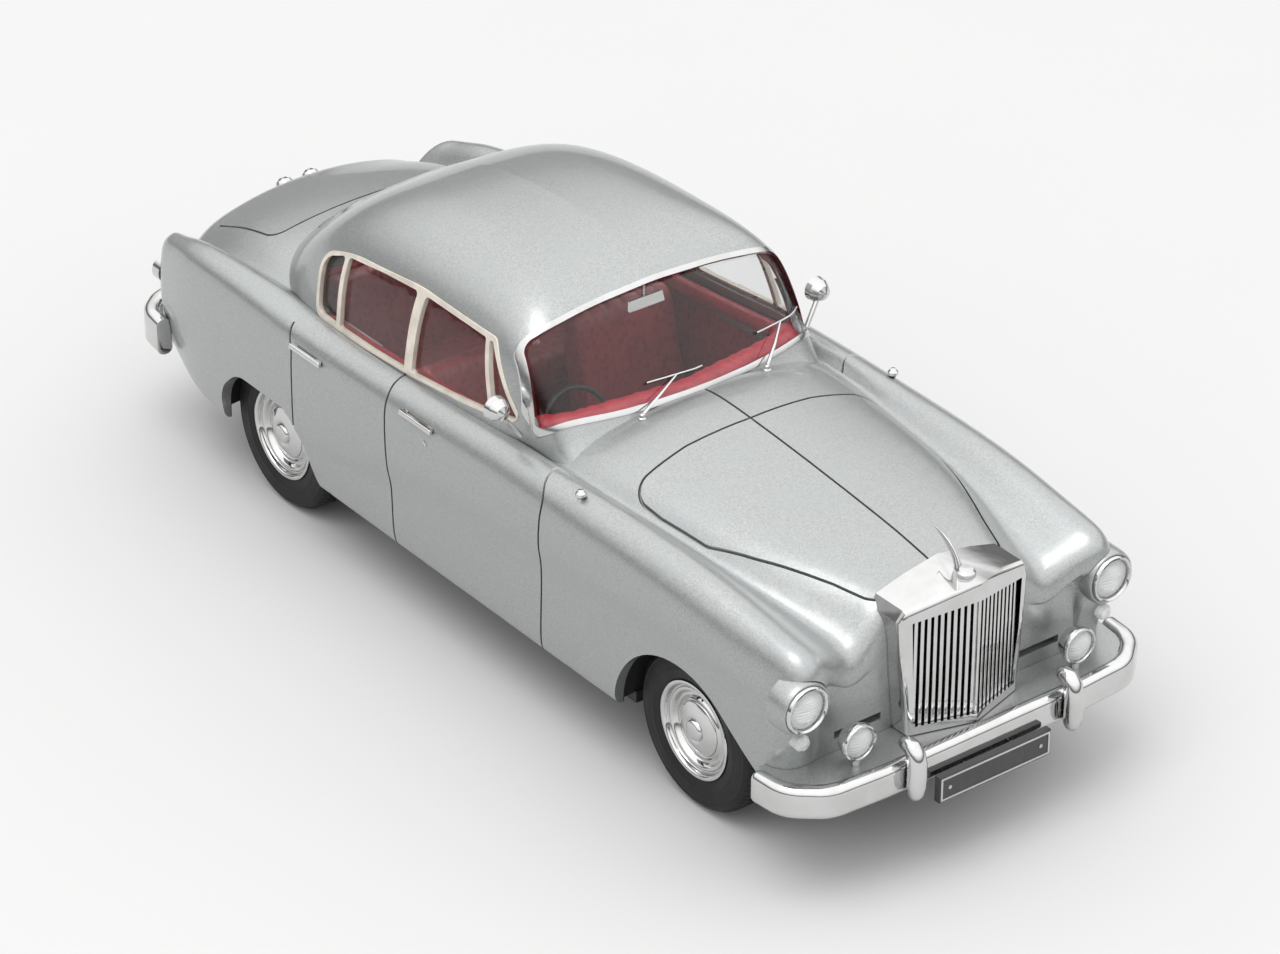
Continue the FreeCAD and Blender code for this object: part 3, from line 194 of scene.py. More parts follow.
def in_wheel_well(finish):
    """1 inside the two pairs of wheel wells, 0 on the skin outside them."""
    x, y, z = finish.axes()
    inside = 0.0
    for end in ENDS:
        axle_y, axle_z = axle_line(end)
        dy = finish.maths("SUBTRACT", y, axle_y)
        dz = finish.maths("SUBTRACT", z, axle_z)
        reach = finish.maths("SQRT", finish.maths("ADD", finish.maths("MULTIPLY", dy, dy),
                                                  finish.maths("MULTIPLY", dz, dz)))
        inside = finish.maths("MAXIMUM", inside, finish.maths("LESS_THAN", reach, WELL_RADIUS))
    narrow = finish.maths("LESS_THAN", finish.maths("ABSOLUTE", x), WELL_HALF_WIDTH)
    return finish.maths("MULTIPLY", inside, narrow)


def in_cabin(finish):
    """1 on the inner face of the roof and pillars, which faces the cabin's middle, 0 on their outer face."""
    x, y, z = finish.axes()
    rise = finish.maths("SUBTRACT", z, CABIN_MIDDLE)
    facing = finish.add("ShaderNodeVectorMath", {"operation": "DOT_PRODUCT"})
    finish.feed(facing.inputs[0], finish.add("ShaderNodeCombineXYZ", X=x, Z=rise).outputs[0])
    finish.feed(facing.inputs[1], finish.add("ShaderNodeNewGeometry").outputs["True Normal"])
    inwards = finish.maths("LESS_THAN", facing.outputs["Value"], LINING_FACING)
    above = finish.maths("GREATER_THAN", rise, LINING_RISE)
    behind = finish.maths("GREATER_THAN", y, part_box("windscreen_glass")[0].y)
    return finish.maths("MULTIPLY", inwards, finish.maths("MULTIPLY", above, behind))


def paint():
    """Silver metallic paint: fine flake under lacquer, painted shade in scribed lines and narrow corners,
    black in the wheel wells.
    """
    f = Finish("body_paint", Coat_Weight=0.6, Coat_Roughness=0.07, Coat_IOR=1.45)
    sparkle = f.add("ShaderNodeSeparateColor", Color=f.cells(9500.0, "Color")).outputs[0]
    silver = f.mix(f.ramp(sparkle, 0.0, 1.0, smooth=False), grey(0.33, SILVER), grey(0.45, SILVER))
    cloud = f.ramp(f.noise(180.0, 2.0), 0.3, 0.7, 0.0, 0.35)
    silver = f.mix(cloud, silver, grey(0.40, (0.95, 1.0, 1.0)))
    # Painted shade: where the occlusion mask finds grooves, contacts and narrow corners, the silver turns
    # near black and loses its metal.
    line = f.painted_shade(0.45 * MM, 0.25, 0.62)
    silver = f.mix(line, silver, grey(0.05))
    silver = f.mix(in_cabin(f), silver, HEADLINING)
    well = in_wheel_well(f)
    open_skin = f.maths("SUBTRACT", 1.0, f.maths("MAXIMUM", well, line))
    f.set(Base_Color=f.mix(well, silver, BLACK))
    f.set(Roughness=f.maths("ADD", f.ramp(sparkle, 0.0, 1.0, 0.33, 0.42), f.maths("MULTIPLY", well, 0.4)))
    f.set(Metallic=f.maths("MULTIPLY", open_skin, PAINT_METAL))
    peel = f.bump(f.noise(1100.0, 2.0), 0.012 * MM, 0.5)
    f.bump(sparkle, 0.004 * MM, 0.6, peel)
    return f.material


def chrome(name="chrome", brightness=0.64, rough=0.05):
    """Bright plating over a casting: slight waves, fine rubbing marks and a little painted shade in the
    corners, which are also rougher.
    """
    f = Finish(name, Metallic=1.0)
    marks = f.noise(5200.0, 4.0)
    patch = f.ramp(f.noise(420.0, 3.0), 0.35, 0.7)
    # Painted shade: corners that the occlusion mask finds are darkened towards grey(0.10) and made rougher.
    corner = f.painted_shade(0.4 * MM, 0.3, 0.75)
    tone = f.mix(patch, grey(brightness), grey(brightness * 0.93, (1.0, 0.995, 0.98)))
    f.set(Base_Color=f.mix(f.maths("MULTIPLY", corner, 0.65), tone, grey(0.10)))
    f.set(Roughness=f.maths("ADD", f.ramp(marks, 0.4, 0.75, rough, rough + 0.07),
                            f.maths("MULTIPLY", corner, 0.2)))
    wavy = f.bump(f.noise(520.0, 1.0), 0.05 * MM, 0.35)
    f.bump(marks, 0.002 * MM, 0.5, wavy)
    return f.material


def satin_metal(name, colour, rough, metal=1.0):
    """Satin plated strip with drawing marks along Y and painted shade in its narrow joins."""
    f = Finish(name, Metallic=metal)
    x, y, z = f.axes()
    drawn = f.add("ShaderNodeCombineXYZ", X=f.maths("MULTIPLY", x, 6.0), Y=y,
                  Z=f.maths("MULTIPLY", z, 6.0)).outputs[0]
    lines = f.noise(900.0, 4.0, drawn)
    patch = f.ramp(f.noise(500.0, 2.0), 0.3, 0.75)
    # Painted shade: grooves and narrow joins that the occlusion mask finds are darkened almost to black.
    seam_shade = f.maths("MULTIPLY", f.painted_shade(0.3 * MM, 0.35, 0.7), 0.9)
    f.set(Base_Color=f.mix(seam_shade, f.mix(patch, colour, darker(colour, 0.8)), grey(0.03)))
    f.set(Roughness=f.ramp(lines, 0.3, 0.7, rough, rough + 0.15))
    f.bump(lines, 0.006 * MM, 0.5)
    return f.material


def rubber():
    """Tyre rubber: satin black, a trace of dust and mould texture."""
    f = Finish("tyre", Specular_IOR_Level=0.35)
    dust = f.noise(260.0, 5.0)
    grain = f.noise(7000.0, 3.0)
    f.set(Base_Color=f.mix(f.ramp(dust, 0.5, 0.85, 0.0, 0.5), grey(0.009), grey(0.022, (1.0, 0.99, 0.98))))
    f.set(Roughness=f.ramp(dust, 0.3, 0.8, 0.48, 0.66))
    f.bump(grain, 0.01 * MM, 0.6)
    return f.material


def plastic(name, colour, rough):
    """Moulded plastic with a fine grain and faint flow marks."""
    f = Finish(name)
    flow = f.noise(300.0, 3.0)
    f.set(Base_Color=f.mix(f.ramp(flow, 0.35, 0.75), colour, darker(colour, 0.72)))
    f.set(Roughness=f.ramp(flow, 0.3, 0.8, rough, rough + 0.18))
    f.bump(f.noise(2600.0, 3.0), 0.012 * MM, 0.5)
    return f.material


def leather(name, colour):
    """Red hide as moulded and painted on a small model: soft grain, creases darker than the high places."""
    f = Finish(name, Coat_Weight=0.15, Coat_Roughness=0.3)
    grain = f.cells(1300.0)
    folds = f.noise(420.0, 4.0)
    dark = darker(colour, 0.6)
    # The pits of the grain and the creases of the folds are mixed towards the darker red.
    pit_darkened = f.mix(f.ramp(grain, 0.15, 0.6, 0.7, 0.0), colour, dark)
    f.set(Base_Color=f.mix(f.ramp(folds, 0.45, 0.8, 0.0, 0.6), pit_darkened, dark))
    f.set(Roughness=f.ramp(folds, 0.3, 0.8, 0.36, 0.58))
    soft = f.bump(folds, 0.10 * MM, 0.7)
    f.bump(grain, 0.03 * MM, 0.6, soft)
    return f.material


def window_glass():
    """Clear pressed window: what is behind it shows, and its front face mirrors the lights at a slant."""
    f = Finish("window_glass")
    see = f.add("ShaderNodeBsdfTransparent", Color=(0.965, 0.97, 0.97, 1.0))
    smear = f.ramp(f.noise(240.0, 3.0), 0.45, 0.8, 0.02, 0.10)
    geometry = f.add("ShaderNodeNewGeometry")
    face = geometry.outputs["True Normal"]
    outside = f.maths("SUBTRACT", 1.0, geometry.outputs["Backfacing"])
    shine = f.add("ShaderNodeBsdfGlossy", Color=grey(1.0), Roughness=smear, Normal=face)
    slant = f.add("ShaderNodeFresnel", IOR=1.5, Normal=face)
    sheet = f.add("ShaderNodeMixShader")
    f.feed(sheet.inputs[0], f.maths("MULTIPLY", slant.outputs[0], outside))
    f.feed(sheet.inputs[1], see.outputs[0])
    f.feed(sheet.inputs[2], shine.outputs[0])
    f.feed(f.tree.nodes["Material Output"].inputs["Surface"], sheet.outputs[0])
    return f.material


def lamp_glass(name, colour=(0.96, 0.98, 0.98, 1.0), clear=0.5):
    """Moulded lamp glass, partly clear and partly milky."""
    f = Finish(name, Base_Color=colour, Transmission_Weight=clear, IOR=1.46, Coat_Weight=0.5,
               Coat_Roughness=0.03)
    f.set(Roughness=f.ramp(f.noise(1500.0, 2.0), 0.3, 0.8, 0.05, 0.2))
    f.bump(f.cells(1800.0), 0.01 * MM, 0.3)
    return f.material


def plate_paint():
    """Gloss black plate, slightly uneven and dusty."""
    f = Finish("plate_black", Coat_Weight=0.4, Coat_Roughness=0.1)
    dust = f.noise(900.0, 4.0)
    f.set(Base_Color=f.mix(f.ramp(dust, 0.45, 0.8, 0.0, 0.5), grey(0.018), grey(0.05)))
    f.set(Roughness=f.ramp(dust, 0.3, 0.8, 0.25, 0.45))
    f.bump(dust, 0.008 * MM, 0.5)
    return f.material


def studio_card():
    """Plain pale card for the floor."""
    f = Finish("studio_card", Roughness=0.9, Specular_IOR_Level=0.1)
    f.set(Base_Color=f.mix(f.noise(30.0, 2.0), grey(0.565), grey(0.575, (1.0, 0.998, 0.995))))
    return f.material


FINISHES = {
    "body_paint": paint(),
    "underside_black": plastic("underside_black", grey(0.022), 0.5),
    "window_glass": window_glass(),
    "screen_trim": chrome("screen_trim", 0.60, 0.14),
    "side_trim": satin_metal("side_trim", (0.78, 0.72, 0.63, 1.0), 0.32, 0.45),
    "cabin_plastic": leather("cabin_plastic", (0.44, 0.028, 0.045, 1.0)),
    "seat_plastic": leather("seat_plastic", (0.40, 0.06, 0.07, 1.0)),
    "black_plastic": plastic("black_plastic", grey(0.02), 0.3),
    "chrome": chrome(),
    "lamp_glass": lamp_glass("lamp_glass"),
    "red_lens": lamp_glass("red_lens", (0.65, 0.02, 0.02, 1.0), 0.35),
    "plate_black": plate_paint(),
    "steel": satin_metal("steel", grey(0.5), 0.25),
    "tyre": rubber(),
}

for subpart in frame["record"]["subparts"]:
    cad_object = frame["nodes"][subpart["node"]]
    cad_object.data.materials.clear()
    cad_object.data.materials.append(FINISHES[subpart["material_slot"]])


# ------------------------------------------------------------------ mesh kit
def piece(name, points, faces, finish, body=CAR, smooth=40.0):
    """A new mesh that rides on a body, shaded smooth except across edges sharper than smooth degrees."""
    data = bpy.data.meshes.new(name)
    data.from_pydata([tuple(p) for p in points], [], faces)
    data.validate()
    shape = bmesh.new()
    shape.from_mesh(data)
    bmesh.ops.recalc_face_normals(shape, faces=shape.faces)
    shape.to_mesh(data)
    shape.free()
    data.materials.append(FINISHES[finish])
    made = bpy.data.objects.new(name, data)
    bpy.context.scene.collection.objects.link(made)
    data.shade_smooth()
    data.set_sharp_from_angle(angle=math.radians(smooth))
    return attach(made, body)


def woven(rings, closed=False):
    """The points of a row of rings and the faces from each ring to the next, with triangles to a ring of one
    point. closed joins the last ring to the first."""
    points, numbers = [], []
    for ring in rings:
        numbers.append(range(len(points), len(points) + len(ring)))
        points += ring
    if closed:
        numbers.append(numbers[0])
    faces = []
    for lower, upper in zip(numbers, numbers[1:]):
        for i in range(max(len(lower), len(upper))):
            round_trip = ((lower, i), (lower, i + 1), (upper, i + 1), (upper, i))
            faces.append(tuple(dict.fromkeys(ring[k % len(ring)] for ring, k in round_trip)))
    return points, faces


def turned(name, profile, foot, axis, finish, body=CAR, steps=96, shape=None):
    """A lathe piece: (along, radius) pairs in millimetres turned about an axis through foot, closed where a
    radius is 0. shape may change (along, radius) at an angle, for treads and flutes."""
    frame_of = axis.to_track_quat("Z", "Y").to_matrix()
    rings = []
    for along, radius in profile:
        if radius == 0:
            rings.append([foot + frame_of @ Vector((0, 0, along * MM))])
            continue
        ring = []
        for i in range(steps):
            turn = math.tau * i / steps
            a, r = shape(along, radius, turn) if shape else (along, radius)
            ring.append(foot + frame_of @ Vector((r * math.cos(turn), r * math.sin(turn), a)) * MM)
        rings.append(ring)
    points, faces = woven(rings)
    return piece(name, points, faces, finish, body)


def lofted(name, rings, finish, body=CAR, smooth=40.0):
    """Rings of equal count joined into a skin, with a face over each end."""
    points, faces = woven(rings)
    count = len(rings[0])
    faces.append(tuple(reversed(range(count))))
    faces.append(tuple(range(len(points) - count, len(points))))
    return piece(name, points, faces, finish, body, smooth)


def oval(middle, across, deep, count):
    """A ring of points round middle: an ellipse with those two half axes."""
    turns = [math.tau * k / count for k in range(count)]
    return [middle + across * math.cos(turn) + deep * math.sin(turn) for turn in turns]


def heading(line, i):
    """The direction in which a line of points runs at its point i."""
    return (line[min(i + 1, len(line) - 1)] - line[max(i - 1, 0)]).normalized()


def tube(name, line, radii, finish, body=CAR, sides=12, flat=1.0):
    """A bar along a line of points with a radius at each; flat is its height for its width."""
    rings = []
    for i, (point, radius) in enumerate(zip(line, radii)):
        turn = heading(line, i).to_track_quat("Z", "Y").to_matrix()
        rings.append(oval(point, turn.col[0] * radius, turn.col[1] * radius * flat, sides))
    return lofted(name, rings, finish, body)


END_STEPS = 4


def bar(name, line, radius, finish, body=CAR, sides=12, flat=1.0):
    """A tube of one radius with rounded ends."""
    turns = [math.pi / 2 * i / END_STEPS for i in range(END_STEPS)]
    outs = [radius * math.cos(turn) for turn in turns]
    caps = [radius * max(math.sin(turn), 0.05) for turn in turns]
    start = [line[0] - heading(line, 0) * out for out in outs]
    end = [line[-1] + heading(line, len(line) - 1) * out for out in reversed(outs)]
    radii = caps + [radius] * len(line) + caps[::-1]
    return tube(name, start + line + end, radii, finish, body, sides, flat)


def skin_of(node):
    """A CAD node's surface, for setting pieces down on it."""
    mesh = frame["nodes"][node].data
    mesh.calc_loop_triangles()
    return BVHTree.FromPolygons([v.co for v in mesh.vertices], [t.vertices for t in mesh.loop_triangles])


def landing(surface, start, direction):
    """Where a ray from start meets a surface and the surface's normal there, or (None, None)."""
    return surface.ray_cast(Vector(start), Vector(direction))[:2]


WELD_GRID = 0.0005 * MM


def islands(node):
    """The lowest and highest corners of each separate solid in a CAD node, from -X to +X, front to rear."""
    mesh = frame["nodes"][node].data
    parent = list(range(len(mesh.vertices)))

    def root(i):
        while parent[i] != i:
            parent[i] = parent[parent[i]]
            i = parent[i]
        return i

    places = {}
    for vertex in mesh.vertices:
        place = tuple(round(c / WELD_GRID) for c in vertex.co)
        parent[root(vertex.index)] = root(places.setdefault(place, vertex.index))
    for edge in mesh.edges:
        parent[root(edge.vertices[0])] = root(edge.vertices[1])
    groups = {}
    for vertex in mesh.vertices:
        groups.setdefault(root(vertex.index), []).append(vertex.co)
    found = []
    for points in groups.values():
        low = Vector(min(p[i] for p in points) for i in range(3))
        high = Vector(max(p[i] for p in points) for i in range(3))
        found.append((low, high))
    return sorted(found, key=lambda box: (round(box[0].x, 4), box[0].y))


WELD_REACH = 0.002 * MM
FLAT_TURN = math.radians(1.5)
SHARP_TURN = math.radians(28)


def rounded(node, name, width, finish):
    """A stand-in for a CAD node: the same faces, with every sharp edge rolled over."""
    shape = bmesh.new()
    shape.from_mesh(frame["nodes"][node].data)
    bmesh.ops.remove_doubles(shape, verts=shape.verts, dist=WELD_REACH)
    bmesh.ops.dissolve_limit(shape, angle_limit=FLAT_TURN, verts=shape.verts, edges=shape.edges)
    sharp = [e for e in shape.edges if len(e.link_faces) == 2 and e.calc_face_angle(0) > SHARP_TURN]
    bmesh.ops.bevel(shape, geom=sharp, offset=width, segments=3, profile=0.5, affect="EDGES",
                    clamp_overlap=True)
    bmesh.ops.triangulate(shape, faces=shape.faces)
    points = [v.co.copy() for v in shape.verts]
    faces = [[v.index for v in face.verts] for face in shape.faces]
    shape.free()
    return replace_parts(piece(name, points, faces, finish), node)


# ------------------------------------------------------------------ wheels and tyres
# Every profile below is (along, radius) in millimetres, along the axis from the middle of the tyre outwards.
TYRE_STEPS = 288
TYRE_WALL = [(1.92, 5.28), (2.08, 5.5), (2.12, 5.75), (2.18, 5.9), (2.2, 6.2), (2.25, 6.3), (2.27, 6.42),
             (2.24, 6.54), (2.25, 6.9), (2.24, 7.3), (2.19, 7.7), (2.17, 7.85), (2.2, 7.92), (2.17, 8.0),
             (2.07, 8.2), (1.9, 8.42), (1.66, 8.62), (1.4, 8.74), (1.2, 8.82), (1.05, 8.84)]
TREAD_GROOVES = (0.78, 0.0, -0.78)
GROOVE_HALF = 0.17
TREAD_RADIUS = 8.845
GROOVE_FLOOR = 8.62
SHOULDER_SIDE = 1.0
SHOULDER_RADIUS = 8.55
SHOULDER_CUT = 0.14
RIM = [(-1.85, 1.2), (-1.85, 4.7), (-1.8, 5.25), (1.93, 5.25), (2.05, 5.3), (2.14, 5.26), (2.18, 5.12),
       (2.16, 4.98), (2.06, 4.86), (1.86, 4.78), (1.66, 4.74), (1.56, 4.66), (1.54, 4.52), (1.6, 4.44),
       (1.7, 4.38), (1.74, 4.26), (1.7, 4.12), (1.56, 4.0), (1.3, 3.9), (1.14, 3.78), (1.1, 3.6),
       (1.16, 3.45), (1.3, 3.3), (1.44, 3.16), (1.48, 3.05), (1.42, 2.94), (1.4, 2.8)]
HUB_CAP = [(1.3, 2.96), (1.46, 2.98), (1.56, 2.92), (1.62, 2.8), (1.72, 2.55), (1.86, 2.2), (1.98, 1.8),
           (2.04, 1.5), (2.04, 1.38), (1.98, 1.3), (1.98, 1.2), (2.1, 1.14), (2.24, 1.04), (2.32, 0.9),
           (2.36, 0.6), (2.38, 0.3), (2.38, 0.0)]
VALVE_OUT = 1.2 * MM
VALVE_UP = 3.62 * MM
VALVE_LENGTH = 0.45 * MM
VALVE_RADIUS = 0.12 * MM


def shoulder_cuts(along, radius, turn):
    """Cuts a notch across the shoulders of a tyre at every fourth step round it."""
    step = round(turn / math.tau * TYRE_STEPS)
    if abs(along) > SHOULDER_SIDE and radius > SHOULDER_RADIUS and step % 4 == 0:
        radius -= SHOULDER_CUT
    return along, radius


def tyre_profile():
    """A tyre from one bead over the tread to the other, grooved round."""
    tread = []
    for middle in TREAD_GROOVES:
        tread += [(middle + GROOVE_HALF, TREAD_RADIUS), (middle + 0.8 * GROOVE_HALF, GROOVE_FLOOR),
                  (middle - 0.8 * GROOVE_HALF, GROOVE_FLOOR), (middle - GROOVE_HALF, TREAD_RADIUS)]
    return TYRE_WALL + tread + [(-along, radius) for along, radius in reversed(TYRE_WALL)]


def wheel_set(end, side, sign):
    """A tyre, a stepped rim, a domed hub cap and a valve, outwards of one end of an axle."""
    body = end + "_wheels"
    corner = f"{end}_{side}"
    low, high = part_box("tyre_" + corner)
    middle = (low + high) / 2
    out = ACROSS * sign
    tyre = turned("tyre_tread_" + corner, tyre_profile(), middle, out, "tyre", body, TYRE_STEPS,
                  shape=shoulder_cuts)
    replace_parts(tyre, "tyre_" + corner)
    rim = turned("wheel_rim_" + corner, RIM, middle, out, "chrome", body, steps=128)
    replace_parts(rim, "wheel_" + corner)
    turned("hub_cap_" + corner, HUB_CAP, middle, out, "chrome", body)
    foot = middle + out * VALVE_OUT + UP * VALVE_UP
    bar("valve_" + corner, [foot, foot + out * VALVE_LENGTH], VALVE_RADIUS, "black_plastic", body, sides=10)


for end in ENDS:
    for side, sign in SIDES.items():
        wheel_set(end, side, sign)


# ------------------------------------------------------------------ lamps
# Every profile is (along, radius) in millimetres, forwards from the plane of the lamp's rim.
FLUTE_WIDTH = 0.34
FLUTE_HEIGHT = 0.035
BOWL = [(-1.3, 0.0), (-1.27, 0.5), (-1.1, 1.1), (-0.75, 1.65), (-0.2, 2.06)]
BULB = [(-1.2, 0.28), (-0.7, 0.3), (-0.5, 0.2), (-0.42, 0.0)]
NACELLE = [(-2.4, 3.0), (-1.2, 2.98), (-0.5, 2.92), (-0.1, 2.84), (0.1, 2.72), (0.14, 2.6), (0.08, 2.5)]
HEADLAMP_RING = [(0.02, 2.06), (0.22, 2.08), (0.44, 2.16), (0.52, 2.28), (0.46, 2.42), (0.3, 2.5),
                 (0.05, 2.53)]
FOG_LAMP_RING = [(-0.1, 1.6), (0.15, 1.66), (0.3, 1.76), (0.28, 1.9), (0.1, 1.99), (-0.15, 2.0)]
RIM_PLANE = 0.55 * MM


def lens_flutes(along, radius, turn):
    """Upright ribs moulded into the face of a lamp glass."""
    if along > 0:
        along += FLUTE_HEIGHT * math.cos(math.tau * radius * math.sin(turn) / FLUTE_WIDTH)
    return along, radius


def domed_glass(radius, dome, rings):
    """The profile of a lamp glass from its edge to its middle, which stands dome further forward."""
    face = []
    for i in range(rings + 1):
        share = 1 - i / rings
        face.append((dome * (1 - share ** 2) + 0.02, radius * share))
    return [(-0.25, radius)] + face


def headlamp(side):
    """A plated bowl, a bulb and a fluted glass in a painted nacelle with a plated ring."""
    low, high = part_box("headlamp_bezel_" + side)
    reach = (high.x - low.x) / 2
    foot = Vector(((low.x + high.x) / 2, low.y + RIM_PLANE, high.z - reach))
    turned("headlamp_bowl_" + side, BOWL, foot, FORWARD, "chrome", steps=64)
    turned("headlamp_bulb_" + side, BULB, foot, FORWARD, "screen_trim", steps=32)
    glass = turned("headlamp_glass_" + side, domed_glass(2.08, 0.62, 14), foot, FORWARD, "lamp_glass",
                   steps=120, shape=lens_flutes)
    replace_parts(glass, "headlamp_lens_" + side)
    shroud = turned("headlamp_nacelle_" + side, NACELLE, foot, FORWARD, "body_paint")
    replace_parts(shroud, "headlamp_bezel_" + side)
    turned("headlamp_ring_" + side, HEADLAMP_RING, foot, FORWARD, "chrome")


def fog_lamp(side):
    """A ribbed glass, a bulb and a thin rolled rim on the CAD bowl."""
    low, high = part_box("fog_lamp_lens_" + side)
    foot = Vector(((low.x + high.x) / 2, high.y, (low.z + high.z) / 2))
    glass = turned("fog_lamp_glass_" + side, domed_glass(1.62, 0.5, 10), foot, FORWARD, "lamp_glass",
                   shape=lens_flutes)
    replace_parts(glass, "fog_lamp_lens_" + side)
    turned("fog_lamp_ring_" + side, FOG_LAMP_RING, foot, FORWARD, "chrome", steps=80)
    heart, half = foot - FORWARD * 0.1 * MM, UP * 0.3 * MM
    bar("fog_lamp_bulb_" + side, [heart - half, heart + half], 0.14 * MM, "screen_trim")


for side in SIDES:
    headlamp(side)
    fog_lamp(side)


# ------------------------------------------------------------------ number plates
PLATE_THICKNESS = 0.8 * MM
PLATE_CUT = 0.06 * MM
STAY_PLACES = {"right": -3 * MM, "left": 3 * MM}
STAY_DROP = 0.6 * MM
STAY_LENGTH = 1.2 * MM
STAY_RISE = 0.2 * MM
STAY_RADIUS = 0.28 * MM
BORDER_INSET = 0.26 * MM
BORDER = [(-0.12, -0.02), (-0.12, 0.06), (-0.06, 0.1), (0.06, 0.1), (0.12, 0.06), (0.12, -0.02)]
BOLT = [(-0.02, 0.22), (0.06, 0.22), (0.12, 0.14), (0.13, 0.0)]
BOLT_INSET = 1.3 * MM
CORNERS = ((-1, -1), (1, -1), (1, 1), (-1, 1))


def thin_plate(node, end, facing):
    """A plate as thin as pressed metal, its front where the CAD's is, on two short stays."""
    low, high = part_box(node)
    front = low.y if facing < 0 else high.y
    back = front - facing * PLATE_THICKNESS
    middle, half = (low + high) / 2, (high - low) / 2
    rings = []
    for y, cut in ((back, PLATE_CUT), (back + facing * PLATE_CUT, 0), (front - facing * PLATE_CUT, 0),
                   (front, PLATE_CUT)):
        centre = Vector((middle.x, y, middle.z))
        corners = [Vector((dx * half.x, 0, dz * half.z)) for dx, dz in CORNERS]
        rings.append([centre + corner - corner.normalized() * cut for corner in corners])
    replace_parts(lofted(f"{end}_plate_sheet", rings, "plate_black"), node)
    for name, x in STAY_PLACES.items():
        foot = Vector((x, back, high.z - STAY_DROP))
        far = foot + Vector((0, -facing * STAY_LENGTH, STAY_RISE))
        bar(f"{end}_plate_stay_{name}", [foot, far], STAY_RADIUS, "chrome")


def plate_border(node, end, facing):
    """A raised rim and two small bolts on a blank plate."""
    low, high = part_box(node)
    face = low.y if facing < 0 else high.y
    middle, half = (low + high) / 2, (high - low) / 2
    rings = []
    for dx, dz in CORNERS:
        rings.append([Vector((middle.x + dx * (half.x - BORDER_INSET + out * MM), face + facing * rise * MM,
                              middle.z + dz * (half.z - BORDER_INSET + out * MM))) for out, rise in BORDER])
    points, faces = woven(rings, closed=True)
    piece(f"{end}_plate_border", points, faces, "screen_trim")
    for name, x in (("right", low.x + BOLT_INSET), ("left", high.x - BOLT_INSET)):
        foot = Vector((x, face, middle.z))
        turned(f"{end}_plate_bolt_{name}", BOLT, foot, Vector((0, facing, 0)), "screen_trim", steps=24)


for end, facing in ENDS.items():
    thin_plate(end + "_number_plate", end, facing)
    plate_border(end + "_number_plate", end, facing)


# ------------------------------------------------------------------ overriders, fin and rolled brightwork
# A point of a horn: its share of the way forward and up in the CAD overrider's box, and of its full section.
HORN = [(0.62, 0.10, 0.35), (0.66, 0.13, 0.72), (0.70, 0.20, 0.92), (0.73, 0.34, 1.0), (0.735, 0.52, 1.0),
        (0.72, 0.68, 1.0), (0.66, 0.80, 0.98), (0.54, 0.87, 0.92), (0.38, 0.885, 0.84), (0.24, 0.88, 0.72),
        (0.15, 0.875, 0.5), (0.12, 0.875, 0.2)]
HORN_DEPTH = 1.0 * MM
# A point of the fin: its share of the way back and up in the mascot's box, and its half depth and half
# thickness in millimetres.
FIN = [(0.06, 0.0, 0.5, 0.36), (0.08, 0.10, 0.46, 0.30), (0.16, 0.30, 0.46, 0.22), (0.30, 0.52, 0.44, 0.17),
       (0.48, 0.72, 0.36, 0.13), (0.68, 0.86, 0.25, 0.09), (0.86, 0.95, 0.13, 0.06), (0.97, 0.99, 0.03, 0.03)]


def horn(name, low, high, facing):
    """A rounded overrider that rises before the blade and curls back over it."""
    back, front = (high.y, low.y) if facing < 0 else (low.y, high.y)
    x, half = (low.x + high.x) / 2, (high.x - low.x) / 2
    spine = [Vector((x, back + (front - back) * u, low.z + (high.z - low.z) * v)) for u, v, _ in HORN]
    rings = []
    for i, (_, _, share) in enumerate(HORN):
        deep = heading(spine, i).cross(ACROSS)
        rings.append(oval(spine[i], ACROSS * half * share, deep * HORN_DEPTH * share, 28))
    return lofted(name, rings, "chrome", smooth=60)


def fin():
    """A plain swept fin on the filler cap."""
    low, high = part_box("mascot")
    spine = [Vector((0, low.y + (high.y - low.y) * u, low.z + (high.z - low.z) * v)) for u, v, _, _ in FIN]
    rings = []
    for i, (_, _, deep, thick) in enumerate(FIN):
        level = heading(spine, i).cross(ACROSS)
        rings.append(oval(spine[i], ACROSS * thick * MM, level * deep * MM, 20))
    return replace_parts(lofted("cap_fin", rings, "screen_trim", smooth=60), "mascot")


for end, facing in ENDS.items():
    horns = [horn(f"{end}_horn_{side}", *box, facing)
             for side, box in zip(SIDES, islands(end + "_overriders"))]
    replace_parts(horns[0], end + "_overriders")
fin()
rounded("radiator_shell", "radiator_surround", 0.6 * MM, "chrome")
rounded("radiator_slats", "radiator_shutters", 0.07 * MM, "chrome")
for side in SIDES:
    rounded("side_frame_" + side, "side_window_trim_" + side, 0.14 * MM, "side_trim")
rounded("windscreen_frame", "windscreen_surround", 0.12 * MM, "screen_trim")
for end in ENDS:
    rounded(end + "_bumper", end + "_bumper_blade", 0.6 * MM, "chrome")


# ------------------------------------------------------------------ wipers and door locks
body_skin = skin_of("body_shell")
screen_skin = skin_of("windscreen_glass")
OUTSIDE = 60 * MM
SPINDLE = [(-0.4, 0.45), (0.1, 0.45), (0.18, 0.3), (0.5, 0.28), (0.6, 0.18), (0.62, 0.0)]
KNUCKLE_RISE = 0.42 * MM
ARM_RADII = [0.22 * MM, 0.2 * MM, 0.17 * MM, 0.13 * MM, 0.1 * MM]
ARM_CLEARANCE = 0.62 * MM
ARM_BOW = 0.2 * MM
BLADE_HALF = 3.2 * MM
BLADE_POINTS = 9
BLADE_DROP = 0.35 * MM
BLADE_CLEARANCE = 0.42 * MM
RUBBER_CLEARANCE = 0.2 * MM
LOCK = [(-0.05, 0.34), (0.05, 0.34), (0.09, 0.26), (0.05, 0.2), (0.04, 0.0)]
LOCK_BACK = 1.2 * MM
LOCK_DROP = 1.5 * MM


